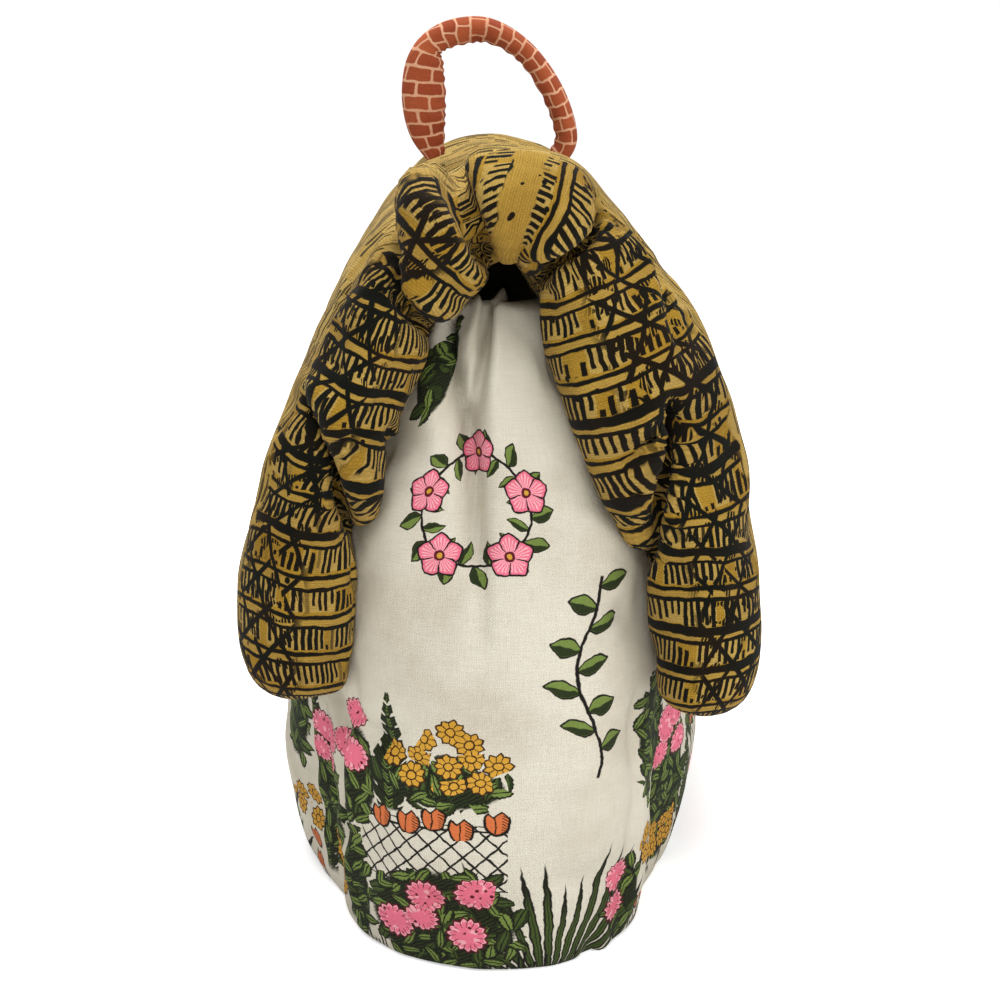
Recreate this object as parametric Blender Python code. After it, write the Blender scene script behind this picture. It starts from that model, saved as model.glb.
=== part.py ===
"""A padded tea cosy in the form of a thatched cottage, with a stuffed loop handle.

Four padded linen walls stand on their hems round the teapot. One thick padded piece of thatch
cloth lies over them, with a fat rolled verge at each gable, and a flat stuffed strap is sewn to
its ridge as a handle. X runs across the gables, -Y is the front gable and +Z is up.
"""

import functools
import math

import bmesh
import bpy
import numpy as np

MM = 0.001

# Driving dimensions, in millimetres.
VERGE_REACH = 121.0  # from the middle of the cosy to the front of each verge roll
WALL_TOP = 210.0  # height of the linen walls, hidden in the ridge
VALLEY_DEPTH = 4.0  # of the soft fold that runs down from the front peak
EAVE_ROUNDING = 12.0  # how far the rounded eave reaches below the arch's end
LIP_LENGTH = 21.0  # how far behind the verge roll the thatch thins on its inner side
SLOPE_BLEND = 62.0  # how far behind the verge roll the slopes take their middle shape
PAD_THICKNESS = 9.0  # of a linen wall in the middle of the panel
SEAM_THICKNESS = 3.4  # of a linen wall at its seams and hem
THATCH_CLEARANCE = 1.6  # between the linen walls and the thatch
EAVE_HEIGHT = 70.0  # above it the walls give way to the thatch
SEAM_GAP = 1.0  # between two linen panels at a seam

# The arch of the thatch at its seven stations from eave to ridge: the middle of the padding
# (x, z) and its thickness. The front verge differs from left to right.
STATIONS = ("eave", "pad", "knee", "low_slope", "high_slope", "shoulder", "ridge")
FRONT_LEFT = {
    # station: (x, z, thickness)
    "eave": (-61.0, 97.0, 33.0),
    "pad": (-61.5, 110.0, 36.0),
    "knee": (-56.5, 143.0, 34.0),
    "low_slope": (-45.5, 173.0, 34.0),
    "high_slope": (-34.5, 199.0, 31.0),
    "shoulder": (-20.0, 225.5, 28.0),
    "ridge": (8.0, 241.5, 32.0),
}
FRONT_RIGHT = {
    "eave": (63.5, 92.0, 33.0),
    "pad": (64.5, 108.0, 36.5),
    "knee": (62.0, 140.0, 37.0),
    "low_slope": (52.0, 169.5, 44.0),
    "high_slope": (39.0, 200.0, 44.0),
    "shoulder": (25.5, 228.0, 32.0),
    "ridge": (8.0, 241.5, 32.0),
}
MIDDLE = {
    "eave": (74.5, 92.0, 21.0),
    "pad": (74.0, 109.0, 23.0),
    "knee": (63.5, 143.0, 23.0),
    "low_slope": (53.0, 169.0, 23.0),
    "high_slope": (40.5, 196.0, 23.0),
    "shoulder": (24.0, 221.0, 23.0),
    "ridge": (0.0, 238.0, 24.0),
}
BACK = {
    "eave": (63.5, 93.0, 33.0),
    "pad": (64.5, 108.0, 36.0),
    "knee": (58.0, 142.0, 35.0),
    "low_slope": (46.5, 170.0, 36.0),
    "high_slope": (33.0, 197.0, 34.0),
    "shoulder": (19.0, 218.0, 30.0),
    "ridge": (0.0, 227.0, 30.0),
}

# Creases of the padded verge. Each runs through points (station, way), where station counts
# from the left eave (0) over the ridge (6) to the right eave (12), and way is the distance in
# millimetres round the roll from its inner lip. depth and width shape the groove, and lap
# lifts the cloth on the ridge side of it.
CREASES = {
    # name: (points, depth, width, lap)
    "peak_left": (((5.25, 58), (5.45, 34), (5.65, 2)), 6.0, 6.5, 0.0),
    "peak_right": (((6.80, 58), (6.62, 34), (6.45, 2)), 6.5, 6.5, 0.0),
    "bolster_left": (((5.35, 62), (4.80, 48), (4.50, 34), (4.35, 0)), 5.5, 7.0, 1.5),
    "knee_left": (((3.50, 46), (2.90, 28), (2.45, 14), (2.10, 0)), 6.5, 7.0, 3.0),
    "knee_right": (((8.55, 36), (9.05, 28), (9.50, 17), (10.05, 0)), 7.0, 7.0, 3.5),
}
STATION_PITCH = 31.0  # millimetres between two stations, for distances to a crease

# The linen walls. At each height: the corner seam (x, y), the gable's reach from the middle
# and the half width of the cosy at mid length. Inside the thatch they give way to it.
WALL_HEIGHTS = (0.0, 40.0, 84.0, 112.0, 140.0, 165.0, 190.0, 210.0)
CORNER_X = (47.0, 51.0, 53.0, 53.0, 50.0, 42.0, 32.0, 20.0)
CORNER_Y = (76.0, 78.0, 78.0, 77.0, 77.0, 78.0, 79.0, 80.0)
GABLE_Y = (124.0, 123.0, 119.0, 115.0, 111.0, 106.0, 101.0, 96.0)
HALF_WIDTH = (67.0, 74.0, 69.0, 66.0, 60.0, 52.0, 40.0, 24.0)
BOW = {-1.0: 3.0, 1.0: 1.8}  # how square the left and right walls bow out from their corners

# The loop handle: the middle of the strap (x, z), its half width and half thickness, and the
# turn of its flat side out of the plane across the ridge, in degrees.
LOOP = (
    # x, z, half_width, half_thickness, turn
    (-19.5, 243.8, 3.4, 2.6, 10.0),
    (-22.5, 253.0, 6.4, 4.2, 6.0),
    (-23.5, 264.0, 7.6, 4.8, 0.0),
    (-23.0, 275.0, 6.6, 4.6, 8.0),
    (-20.5, 281.5, 4.6, 4.2, 30.0),
    (-12.5, 285.3, 5.2, 4.6, 70.0),
    (-1.0, 285.7, 6.2, 4.2, 84.0),
    (11.0, 278.5, 6.2, 3.8, 86.0),
    (20.5, 265.0, 6.4, 4.0, 86.0),
    (25.0, 250.5, 6.2, 3.8, 80.0),
    (21.0, 242.6, 4.6, 3.2, 70.0),
)

# Mesh fineness.
ARCH_CELLS = 64
CAP_CELLS = 3
ROLL_CELLS = 8
SLOPE_CELLS = 11
GABLE_CELLS = (14, 13)
SIDE_CELLS = (16, 14)
STRAP_CELLS = (34, 12)

LINEN = (0.66, 0.61, 0.53)
THATCH = (0.50, 0.29, 0.045)
BRICK = (0.42, 0.12, 0.055)


def clear_scene():
    for item in list(bpy.data.objects):
        bpy.data.objects.remove(item, do_unlink=True)


def cloth(name, colour):
    material = bpy.data.materials.new(name)
    material.use_nodes = True
    shader = material.node_tree.nodes["Principled BSDF"]
    shader.inputs["Base Color"].default_value = (*colour, 1.0)
    shader.inputs["Roughness"].default_value = 0.9
    shader.inputs["Metallic"].default_value = 0.0
    return material


def smooth(t):
    t = min(max(t, 0.0), 1.0)
    return t * t * (3.0 - 2.0 * t)


def glide(rows, t):
    """The smooth curve through rows, at t counted in rows."""
    t = min(max(t, 0.0), len(rows) - 1.0)
    i = min(int(t), len(rows) - 2)
    f = t - i
    before, here, after = rows[max(i - 1, 0)], rows[i], rows[i + 1]
    beyond = rows[min(i + 2, len(rows) - 1)]
    turn = 2.0 * before - 5.0 * here + 4.0 * after - beyond
    swing = -before + 3.0 * here - 3.0 * after + beyond
    return 0.5 * (2.0 * here + (after - before) * f + turn * f**2 + swing * f**3)


def arch(left, right):
    """Rows from the left eave over the ridge to the right eave."""
    rows = [left[station] for station in STATIONS]
    rows += [right[station] for station in reversed(STATIONS[:-1])]
    return np.array(rows, float)


def mirrored(half):
    return {station: (-x, z, thickness) for station, (x, z, thickness) in half.items()}


ARCHES = {
    "front": arch(FRONT_LEFT, FRONT_RIGHT),
    "middle": arch(mirrored(MIDDLE), MIDDLE),
    "back": arch(mirrored(BACK), BACK),
}


def slab(place, station):
    """Inner point, outer point, downward direction and half thickness of one arch."""
    rows = ARCHES[place]
    x, z, thickness = glide(rows, station)
    ahead = glide(rows, min(station + 0.05, 12.0))
    behind = glide(rows, max(station - 0.05, 0.0))
    along = ahead[:2] - behind[:2]
    along /= np.linalg.norm(along)
    out = np.array((-along[1], along[0]))
    middle = np.array((x, z))
    down = -along if station < 6.0 else along
    return middle - out * thickness / 2, middle + out * thickness / 2, down, thickness / 2


def blend(y, roll, length):
    """Shares of the front, middle and back arches at y."""
    start = VERGE_REACH - roll
    front = smooth((-y - (start - length)) / length)
    back = smooth((y - (start - length)) / length)
    return {"front": front, "middle": 1.0 - front - back, "back": back}


def slab_at(station, y):
    """Inner and outer point of the thatch, the way down its slope, and the roll's radius."""
    arches = {place: slab(place, station) for place in ARCHES}
    roll = arches["front"][3] if y < 0.0 else arches["back"][3]
    inner_share = blend(y, roll, LIP_LENGTH)
    outer_share = blend(y, roll, SLOPE_BLEND)
    inner = sum(inner_share[place] * arches[place][0] for place in ARCHES)
    outer = sum(outer_share[place] * arches[place][1] for place in ARCHES)
    down = sum(outer_share[place] * arches[place][2] for place in ARCHES)
    return inner, outer, down, roll


def to_line(point, start, end):
    """Signed distance of point from the stretch between start and end, and its share along."""
    along = end - start
    share = float(np.clip(np.dot(point - start, along) / np.dot(along, along), 0.0, 1.0))
    gap = point - (start + share * along)
    side = along[0] * gap[1] - along[1] * gap[0]
    return math.copysign(float(np.linalg.norm(gap)), side), share


def creased(station, way):
    """How far the cloth of the front verge stands out (+) or is drawn in (-)."""
    here = np.array((station * STATION_PITCH, way))
    lift = 0.0
    for points, depth, width, lap in CREASES.values():
        path = [np.array((s * STATION_PITCH, w)) for s, w in points]
        near = [(*to_line(here, *pair), i) for i, pair in enumerate(zip(path, path[1:]))]
        gap, share, stretch = min(near, key=lambda found: abs(found[0]))
        strength = smooth(3.0 * (stretch + share) / (len(path) - 1))
        towards_ridge = gap if points[0][0] < 6.0 else -gap
        lift -= strength * depth * math.exp(-((gap / width) ** 2))
        raised = smooth(towards_ridge / 8.0) * math.exp(-((towards_ridge - 9.0) ** 2) / 90.0)
        lift += strength * lap * raised
    return lift * smooth((way + 10.0) / 14.0)


def thatch_point(station, cap, turn, share):
    """A point of the thatch's skin. cap is 0 at the rounded eave's lowest line and 1 above it.

    turn runs from 0 (inner lip) over 90 (front) to 180 degrees (outside) on a verge roll, and
    share runs from the front roll (0) to the back roll (1) on the slopes between them.
    """
    front = share < 0.5
    inner, outer, down, roll = slab_at(station, -VERGE_REACH if front else VERGE_REACH)
    front_y = -(VERGE_REACH - roll)
    back_y = VERGE_REACH - slab("back", station)[3]
    roll_y = front_y if front else back_y
    angle = math.radians(turn)
    reach = -math.sin(angle) if front else math.sin(angle)
    across = -math.cos(angle)
    y = roll_y + reach * roll * cap
    if turn in (0.0, 180.0):
        y = front_y + (back_y - front_y) * (0.5 - 0.5 * math.cos(math.pi * share))
    inner, outer, down, _ = slab_at(station, y)
    out = (outer - inner) / np.linalg.norm(outer - inner)
    way = math.pi * roll * turn / 180.0
    if turn == 180.0:
        way += abs(y - roll_y)
    elif turn == 0.0:
        way -= abs(y - roll_y)
    lift = creased(station, way) * cap if front else 0.0
    middle = (inner + outer) / 2 + down * EAVE_ROUNDING * math.cos(math.asin(cap))
    half = np.linalg.norm(outer - inner) / 2 * cap
    x, z = middle + out * across * (half + lift)
    return np.array((x, y + reach * lift, z))


def roll_round():
    """(turn, share) of the points round one cross-section, from the front inner lip."""
    turns = [180.0 * i / ROLL_CELLS for i in range(ROLL_CELLS + 1)]
    shares = [i / SLOPE_CELLS for i in range(1, SLOPE_CELLS)]
    ring = [(turn, 0.0) for turn in turns]
    ring += [(180.0, share) for share in shares]
    ring += [(turn, 1.0) for turn in reversed(turns)]
    ring += [(0.0, share) for share in reversed(shares)]
    return ring + ring[:1]


def arch_rows():
    """(station, cap) of the cross-sections, with the rounding of both eaves."""
    caps = [math.sin(math.pi / 2 * i / CAP_CELLS) for i in range(CAP_CELLS)]
    rows = [(0.0, cap) for cap in caps]
    rows += [(12.0 * i / ARCH_CELLS, 1.0) for i in range(ARCH_CELLS + 1)]
    return rows + [(12.0, cap) for cap in reversed(caps)]


def grid_mesh(columns, rows):
    """A flat grid, and the column and row of each of its vertices."""
    mesh = bmesh.new()
    bmesh.ops.create_grid(mesh, x_segments=columns, y_segments=rows, size=0.5)
    places = {
        vertex: (round((vertex.co.x + 0.5) * columns), round((vertex.co.y + 0.5) * rows))
        for vertex in mesh.verts
    }
    return mesh, places


def finish(mesh, name, material):
    bmesh.ops.remove_doubles(mesh, verts=mesh.verts, dist=0.00002)
    bmesh.ops.recalc_face_normals(mesh, faces=mesh.faces)
    for face in mesh.faces:
        face.smooth = True
    data = bpy.data.meshes.new(name)
    mesh.to_mesh(data)
    mesh.free()
    data.materials.append(material)
    item = bpy.data.objects.new(name, data)
    bpy.context.scene.collection.objects.link(item)
    return item


def make_thatch(material):
    ring = roll_round()
    rows = arch_rows()
    mesh, places = grid_mesh(len(rows) - 1, len(ring) - 1)
    for vertex, (column, row) in places.items():
        station, cap = rows[column]
        turn, share = ring[row]
        vertex.co = thatch_point(station, cap, turn, share) * MM
    return finish(mesh, "thatch", material)


@functools.lru_cache(maxsize=None)
def inner_line(y):
    """The thatch's inner side at y, as points from the left eave to the right one."""
    return np.array([slab_at(station, y)[0] for station in np.linspace(0.0, 12.0, 97)])


def thatch_inside(y, z, side):
    """How far from the middle the thatch's inner side is, on the left (-1) or right (1)."""
    points = inner_line(round(float(y)))
    half = points[:49] if side < 0.0 else points[:47:-1]
    return float(np.interp(z, half[:, 1], side * half[:, 0]))


def wall_size(column, z):
    return float(np.interp(z, WALL_HEIGHTS, column))


def seam_profile(t):
    """Share of the full padding at t, from 0 on one seam to 1 on the other."""
    edge = min(t, 1.0 - t)
    return math.sqrt(smooth(edge / 0.2))


@functools.lru_cache(maxsize=None)
def corner(z, side, end):
    """Where the seam between a gable (end) and a side wall stands at height z."""
    y = wall_size(CORNER_Y, z)
    x = wall_size(CORNER_X, z)
    if z > EAVE_HEIGHT:
        room = thatch_inside(end * y, z, side) - THATCH_CLEARANCE - SEAM_THICKNESS / 2
        x = max(min(x, room), SEAM_THICKNESS)
    return side * x, end * y


def gable_line(t, z, end):
    """Plan of a gable panel's middle at height z, from its left seam (0) to its right (1)."""
    angle = math.radians(180.0 * t - 90.0)
    left, corner_y = corner(z, -1.0, end)
    right, _ = corner(z, 1.0, end)
    foot = corner_y + end * SEAM_GAP / 2
    reach = end * (wall_size(GABLE_Y, z) - PAD_THICKNESS / 2) - foot
    x = (left + right) / 2 + (right - left) / 2 * math.sin(angle)
    y = foot + reach * math.cos(angle)
    if end < 0.0:
        y += VALLEY_DEPTH * smooth((z - 90.0) / 90.0) * math.exp(-(((t - 0.46) / 0.12) ** 2))
    return np.array((x, y))


def side_line(t, z, side):
    """Plan of a side wall's middle at height z, from its front seam (0) to its back (1)."""
    front_x, front_y = corner(z, side, -1.0)
    back_x, back_y = corner(z, side, 1.0)
    share = 2.0 * t - 1.0
    y = (front_y + SEAM_GAP / 2) * (1.0 - t) + (back_y - SEAM_GAP / 2) * t
    seam_x = front_x * (1.0 - t) + back_x * t
    half_width = wall_size(HALF_WIDTH, z) - PAD_THICKNESS / 2
    bow = max(half_width - abs(seam_x), 0.0) * (1.0 - abs(share) ** BOW[side])
    x = abs(seam_x) + bow
    if z > EAVE_HEIGHT:
        x = min(x, thatch_inside(y, z, side) - THATCH_CLEARANCE - SEAM_THICKNESS / 2)
    return np.array((side * x, y))


def make_wall(name, material, cells, line, hand):
    """A padded panel: line gives its plan, and it is drawn thin along its seams."""
    columns, rows = cells
    mesh, places = grid_mesh(columns, rows)
    sheet = dict(places)
    lifted = bmesh.ops.extrude_face_region(mesh, geom=mesh.faces[:])
    for vertex in lifted["geom"]:
        if isinstance(vertex, bmesh.types.BMVert):
            column = round((vertex.co.x + 0.5) * columns)
            row = round((vertex.co.y + 0.5) * rows)
            sheet[vertex] = (column, row)
    for vertex, (column, row) in sheet.items():
        t = column / columns
        z = WALL_TOP * row / rows
        ahead = line(min(t + 0.01, 1.0), z, hand)
        behind = line(max(t - 0.01, 0.0), z, hand)
        along = (ahead - behind) / np.linalg.norm(ahead - behind)
        middle = line(t, z, hand)
        out = np.array((along[1], -along[0]))
        if np.dot(out, middle) < 0.0:
            out = -out
        hem = min(1.0, 0.35 + 0.65 * smooth(row / 2.0))
        thickness = SEAM_THICKNESS + (PAD_THICKNESS - SEAM_THICKNESS) * seam_profile(t) * hem
        face = 0.5 if vertex in places else -0.5
        x, y = middle + out * thickness * face
        side = 1.0 if middle[0] > 0.0 else -1.0
        if z > EAVE_HEIGHT and face > 0.0:
            x = side * min(side * x, thatch_inside(y, z, side) - THATCH_CLEARANCE)
        vertex.co = np.array((x, y, z)) * MM
    return finish(mesh, name, material)


def make_loop(material):
    """The stuffed strap, swept along its bend with an oval section that turns as it goes."""
    along_cells, round_cells = STRAP_CELLS
    mesh, places = grid_mesh(along_cells, round_cells)
    rows = np.array(LOOP, float)
    for vertex, (column, row) in places.items():
        t = (len(rows) - 1) * column / along_cells
        x, z, half_width, half_thickness, turn = glide(rows, t)
        ahead = glide(rows, t + 0.1)
        behind = glide(rows, t - 0.1)
        along = (ahead[:2] - behind[:2]) / np.linalg.norm(ahead[:2] - behind[:2])
        out = np.array((along[1], 0.0, -along[0]))
        deep = np.array((0.0, 1.0, 0.0))
        turn = math.radians(turn)
        broad = out * math.cos(turn) + deep * math.sin(turn)
        thin = deep * math.cos(turn) - out * math.sin(turn)
        angle = 2.0 * math.pi * row / round_cells
        edge = broad * half_width * math.cos(angle) + thin * half_thickness * math.sin(angle)
        vertex.co = (np.array((x, 0.0, z)) + edge) * MM
    bmesh.ops.remove_doubles(mesh, verts=mesh.verts, dist=0.00002)
    bmesh.ops.holes_fill(mesh, edges=mesh.edges, sides=0)
    return finish(mesh, "loop", material)


def main():
    clear_scene()
    linen = cloth("printed_linen", LINEN)
    thatch = cloth("thatch_cloth", THATCH)
    brick = cloth("brick_cloth", BRICK)
    make_thatch(thatch)
    make_wall("gable_front", linen, GABLE_CELLS, gable_line, -1.0)
    make_wall("gable_back", linen, GABLE_CELLS, gable_line, 1.0)
    make_wall("side_left", linen, SIDE_CELLS, side_line, -1.0)
    make_wall("side_right", linen, SIDE_CELLS, side_line, 1.0)
    make_loop(brick)


main()
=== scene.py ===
# %% [markdown]
# # A padded tea cosy in the form of a thatched cottage
#
# The real thing is sewn from six padded pieces. Four linen panels stand round the teapot and
# carry a printed flower border. One long mustard pad lies over them as the thatch, with a fat
# rolled verge at each gable. A stuffed strap with a brick print is sewn to the ridge as a handle.
#
# The script builds each piece as a grid of cells that a function bends into place, lets cloth
# simulation fill it, presses the listed creases in, and then gives it a printed cloth.
# X runs across the gables, -Y is the front gable and +Z is up.

# %% Load the frame
import functools
import math

import bmesh
import bpy
import numpy as np
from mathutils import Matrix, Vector, noise


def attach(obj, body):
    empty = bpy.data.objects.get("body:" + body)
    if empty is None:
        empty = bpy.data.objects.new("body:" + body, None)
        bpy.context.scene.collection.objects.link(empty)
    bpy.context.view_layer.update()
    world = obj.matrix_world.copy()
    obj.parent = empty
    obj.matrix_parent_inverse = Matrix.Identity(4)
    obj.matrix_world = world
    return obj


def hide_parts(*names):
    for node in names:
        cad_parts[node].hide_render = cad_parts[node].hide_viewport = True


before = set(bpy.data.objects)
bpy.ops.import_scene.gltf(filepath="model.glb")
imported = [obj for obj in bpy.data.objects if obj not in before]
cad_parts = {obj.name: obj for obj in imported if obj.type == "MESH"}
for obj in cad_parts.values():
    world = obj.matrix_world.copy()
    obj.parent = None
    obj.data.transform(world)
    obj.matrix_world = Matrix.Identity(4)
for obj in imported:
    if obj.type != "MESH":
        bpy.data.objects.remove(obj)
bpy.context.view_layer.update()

MM = 0.001
print("nodes:", sorted(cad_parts))

# %% [markdown]
# ## Camera
#
# The cosy is shown from close by, a little above its ridge, so its foot looks much steeper from
# above than its roof. A near camera with a longish lens gives that foreshortening. It looks down
# by the angle that puts the horizon just above the frame.

# %% Camera
CAMERA_BACK = 649.0  # from the middle of the cosy to the camera, along Y
CAMERA_HEIGHT = 315.0
CAMERA_PITCH = 16.68  # degrees down
SENSOR = 36.0
LENS = 67.2
SHIFT = 0.007  # the cosy stands a little left of the middle of the frame


def make_camera():
    data = bpy.data.cameras.new("Camera")
    data.sensor_width = SENSOR
    data.lens = LENS
    data.shift_x = SHIFT
    data.clip_start = 0.02
    data.dof.use_dof = False
    camera = bpy.data.objects.new("Camera", data)
    camera.location = (0.0, -CAMERA_BACK * MM, CAMERA_HEIGHT * MM)
    camera.rotation_euler = (math.radians(90.0 - CAMERA_PITCH), 0.0, 0.0)
    bpy.context.scene.collection.objects.link(camera)
    bpy.context.scene.camera = camera
    return camera


print("camera at", tuple(make_camera().location))

# %% [markdown]
# ## Stage
#
# A plain pale floor, a large lamp high in front, a weaker one on the right, one over the ridge and
# a bright world. The lamps are large, so the folds get soft shadows. The camera sees the floor
# and the world as nearly white, but they light the cosy less, so the folds keep their shade.

# %% Floor, lamps and world
LAMPS = {
    # name: place (m), watts, size (m)
    "key": ((-0.06, -0.88, 1.12), 6.6, 0.45),
    "fill": ((0.72, -0.78, 0.42), 4.6, 0.9),
    "top": ((-0.10, 0.25, 1.1), 12.0, 0.6),
}
AIM = Vector((0.0, 0.0, 0.13))
SKY = 0.58  # light from the world; the camera itself sees it as white
FLOOR_REACH = 30.0  # m
FLOOR_GREY = (0.92, 0.92, 0.92, 1.0)
FLOOR_GLOW = (0.48, 0.48, 0.48, 1.0)  # whitens the floor for the camera only


def make_floor():
    mesh = bmesh.new()
    bmesh.ops.create_grid(mesh, x_segments=1, y_segments=1, size=FLOOR_REACH)
    data = bpy.data.meshes.new("Floor")
    mesh.to_mesh(data)
    mesh.free()
    floor = bpy.data.objects.new("Floor", data)
    bpy.context.scene.collection.objects.link(floor)
    material = bpy.data.materials.new("pale_floor")
    material.use_nodes = True
    shader = material.node_tree.nodes["Principled BSDF"]
    shader.inputs["Base Color"].default_value = FLOOR_GREY
    shader.inputs["Roughness"].default_value = 0.85
    shader.inputs["Emission Color"].default_value = FLOOR_GLOW
    seen_directly = material.node_tree.nodes.new("ShaderNodeLightPath").outputs["Is Camera Ray"]
    material.node_tree.links.new(seen_directly, shader.inputs["Emission Strength"])
    data.materials.append(material)


def make_lamp(name, place, watts, size):
    data = bpy.data.lights.new(name, "AREA")
    data.energy = watts
    data.size = size
    lamp = bpy.data.objects.new(name, data)
    lamp.location = place
    lamp.rotation_euler = (AIM - Vector(place)).to_track_quat("-Z", "Y").to_euler()
    bpy.context.scene.collection.objects.link(lamp)


def make_world():
    world = bpy.data.worlds.new("World")
    bpy.context.scene.world = world
    world.use_nodes = True
    nodes, links = world.node_tree.nodes, world.node_tree.links
    nodes["Background"].inputs["Color"].default_value = (1.0, 1.0, 1.0, 1.0)
    strength = nodes.new("ShaderNodeMath")
    strength.operation = "MULTIPLY_ADD"
    strength.inputs[1].default_value = 1.0 - SKY
    strength.inputs[2].default_value = SKY
    links.new(nodes.new("ShaderNodeLightPath").outputs["Is Camera Ray"], strength.inputs[0])
    links.new(strength.outputs["Value"], nodes["Background"].inputs["Strength"])


make_floor()
make_world()
for lamp_name, (lamp_place, lamp_watts, lamp_size) in LAMPS.items():
    make_lamp(lamp_name, lamp_place, lamp_watts, lamp_size)
bpy.context.scene.view_settings.view_transform = "Standard"
print("lamps:", list(LAMPS))

# %% [markdown]
# ## The form of the thatch
#
# The thatch is one pad that hangs over the ridge like a saddle cloth. Its cross-section changes
# along the cosy: fat at the two verges and flat on the slopes between them. So three arches, at
# the front verge, the middle and the back verge, are given as short tables. Each station holds
# the middle of the padding and its thickness, and smooth curves run through them.

# %% Arches of the thatch
VERGE_REACH = 121.0  # from the middle of the cosy to the front of each verge roll
EAVE_ROUNDING = 12.0  # how far the rounded eave reaches below the arch's end
LIP_LENGTH = 21.0  # how far behind the verge roll the thatch thins on its inner side
SLOPE_BLEND = 62.0  # how far behind the verge roll the slopes take their middle shape
LAST_STATION = 12.0
RIDGE_STATION = 6.0
STATIONS = ("eave", "pad", "knee", "low_slope", "high_slope", "shoulder", "ridge")
FRONT_LEFT = {
    # station: (x, z, thickness)
    "eave": (-61.0, 97.0, 33.0),
    "pad": (-61.5, 110.0, 36.0),
    "knee": (-56.5, 143.0, 34.0),
    "low_slope": (-45.5, 173.0, 34.0),
    "high_slope": (-34.5, 199.0, 31.0),
    "shoulder": (-20.0, 225.5, 30.0),
    "ridge": (8.0, 241.5, 32.0),
}
FRONT_RIGHT = {
    "eave": (63.5, 92.0, 33.0),
    "pad": (64.5, 108.0, 36.5),
    "knee": (62.0, 140.0, 37.0),
    "low_slope": (52.0, 169.5, 44.0),
    "high_slope": (39.0, 200.0, 44.0),
    "shoulder": (25.5, 228.0, 32.0),
    "ridge": (8.0, 241.5, 32.0),
}
MIDDLE = {
    "eave": (74.5, 92.0, 21.0),
    "pad": (74.0, 109.0, 23.0),
    "knee": (63.5, 143.0, 23.0),
    "low_slope": (53.0, 169.0, 23.0),
    "high_slope": (40.5, 196.0, 23.0),
    "shoulder": (24.0, 221.0, 23.0),
    "ridge": (0.0, 238.0, 24.0),
}
BACK = {
    "eave": (63.5, 93.0, 33.0),
    "pad": (64.5, 108.0, 36.0),
    "knee": (58.0, 142.0, 35.0),
    "low_slope": (46.5, 170.0, 36.0),
    "high_slope": (33.0, 197.0, 34.0),
    "shoulder": (19.0, 218.0, 30.0),
    "ridge": (0.0, 227.0, 30.0),
}


def arch(left, right):
    """Rows from the left eave over the ridge to the right eave."""
    rows = [left[station] for station in STATIONS]
    rows += [right[station] for station in reversed(STATIONS[:-1])]
    return np.array(rows, float)


def mirrored(half):
    return {station: (-x, z, thickness) for station, (x, z, thickness) in half.items()}


ARCHES = {
    "front": arch(FRONT_LEFT, FRONT_RIGHT),
    "middle": arch(mirrored(MIDDLE), MIDDLE),
    "back": arch(mirrored(BACK), BACK),
}
print("arches:", {place: rows.shape for place, rows in ARCHES.items()})

# %% [markdown]
# ## Curves through the tables
#
# `glide` runs a smooth curve through the rows of a table, and takes many places at once. `walked`
# measures along a line of points. `slab` turns one arch into an inner and an outer line, half the
# padding to each side. `slab_at` mixes the three arches by how near a point is to either verge.

# %% Curves and mixtures
ACROSS_STEP = 0.05  # in stations, for the direction of a curve


def smooth(t):
    t = np.clip(t, 0.0, 1.0)
    return t * t * (3.0 - 2.0 * t)


def glide(rows, t):
    """The smooth curve through rows, at the places t counted in rows."""
    t = np.clip(np.atleast_1d(np.asarray(t, float)), 0.0, len(rows) - 1.0)
    i = np.minimum(t.astype(int), len(rows) - 2)
    f = (t - i)[:, None]
    before, here, after = rows[np.maximum(i - 1, 0)], rows[i], rows[i + 1]
    beyond = rows[np.minimum(i + 2, len(rows) - 1)]
    turn = 2.0 * before - 5.0 * here + 4.0 * after - beyond
    swing = -before + 3.0 * here - 3.0 * after + beyond
    return 0.5 * (2.0 * here + (after - before) * f + turn * f**2 + swing * f**3)


def walked(points):
    """How far along a line of points each of them is; the points run along the axis before last."""
    steps = np.linalg.norm(np.diff(points, axis=-2), axis=-1)
    return np.concatenate([np.zeros((*steps.shape[:-1], 1)), np.cumsum(steps, axis=-1)], axis=-1)


def slab(place, station):
    """Inner points, outer points, downward directions and half thicknesses of one arch."""
    rows = ARCHES[place]
    here = glide(rows, station)
    along = glide(rows, station + ACROSS_STEP)[:, :2] - glide(rows, station - ACROSS_STEP)[:, :2]
    along /= np.linalg.norm(along, axis=1)[:, None]
    out = np.stack([-along[:, 1], along[:, 0]], axis=1)
    down = np.where((station < RIDGE_STATION)[:, None], -along, along)
    half = here[:, 2:] / 2
    return here[:, :2] - out * half, here[:, :2] + out * half, down, half[:, 0]


def blend(y, roll, length):
    """Shares of the front, middle and back arches at y."""
    start = VERGE_REACH - roll
    front = smooth((-y - (start - length)) / length)
    back = smooth((y - (start - length)) / length)
    return {"front": front, "middle": 1.0 - front - back, "back": back}


def slab_at(station, y):
    """Inner and outer points of the thatch at y, and the way down its slope."""
    slabs = {place: slab(place, station) for place in ARCHES}
    roll = np.where(y < 0.0, slabs["front"][3], slabs["back"][3])
    inside = blend(y, roll, LIP_LENGTH)
    outside = blend(y, roll, SLOPE_BLEND)
    inner = sum(inside[place][:, None] * slabs[place][0] for place in ARCHES)
    outer = sum(outside[place][:, None] * slabs[place][1] for place in ARCHES)
    down = sum(outside[place][:, None] * slabs[place][2] for place in ARCHES)
    return inner, outer, down


ridge_inner, ridge_outer, _ = slab_at(np.array([RIDGE_STATION]), np.array([0.0]))
print("ridge at mid length:", ridge_inner[0].round(1), ridge_outer[0].round(1))

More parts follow.
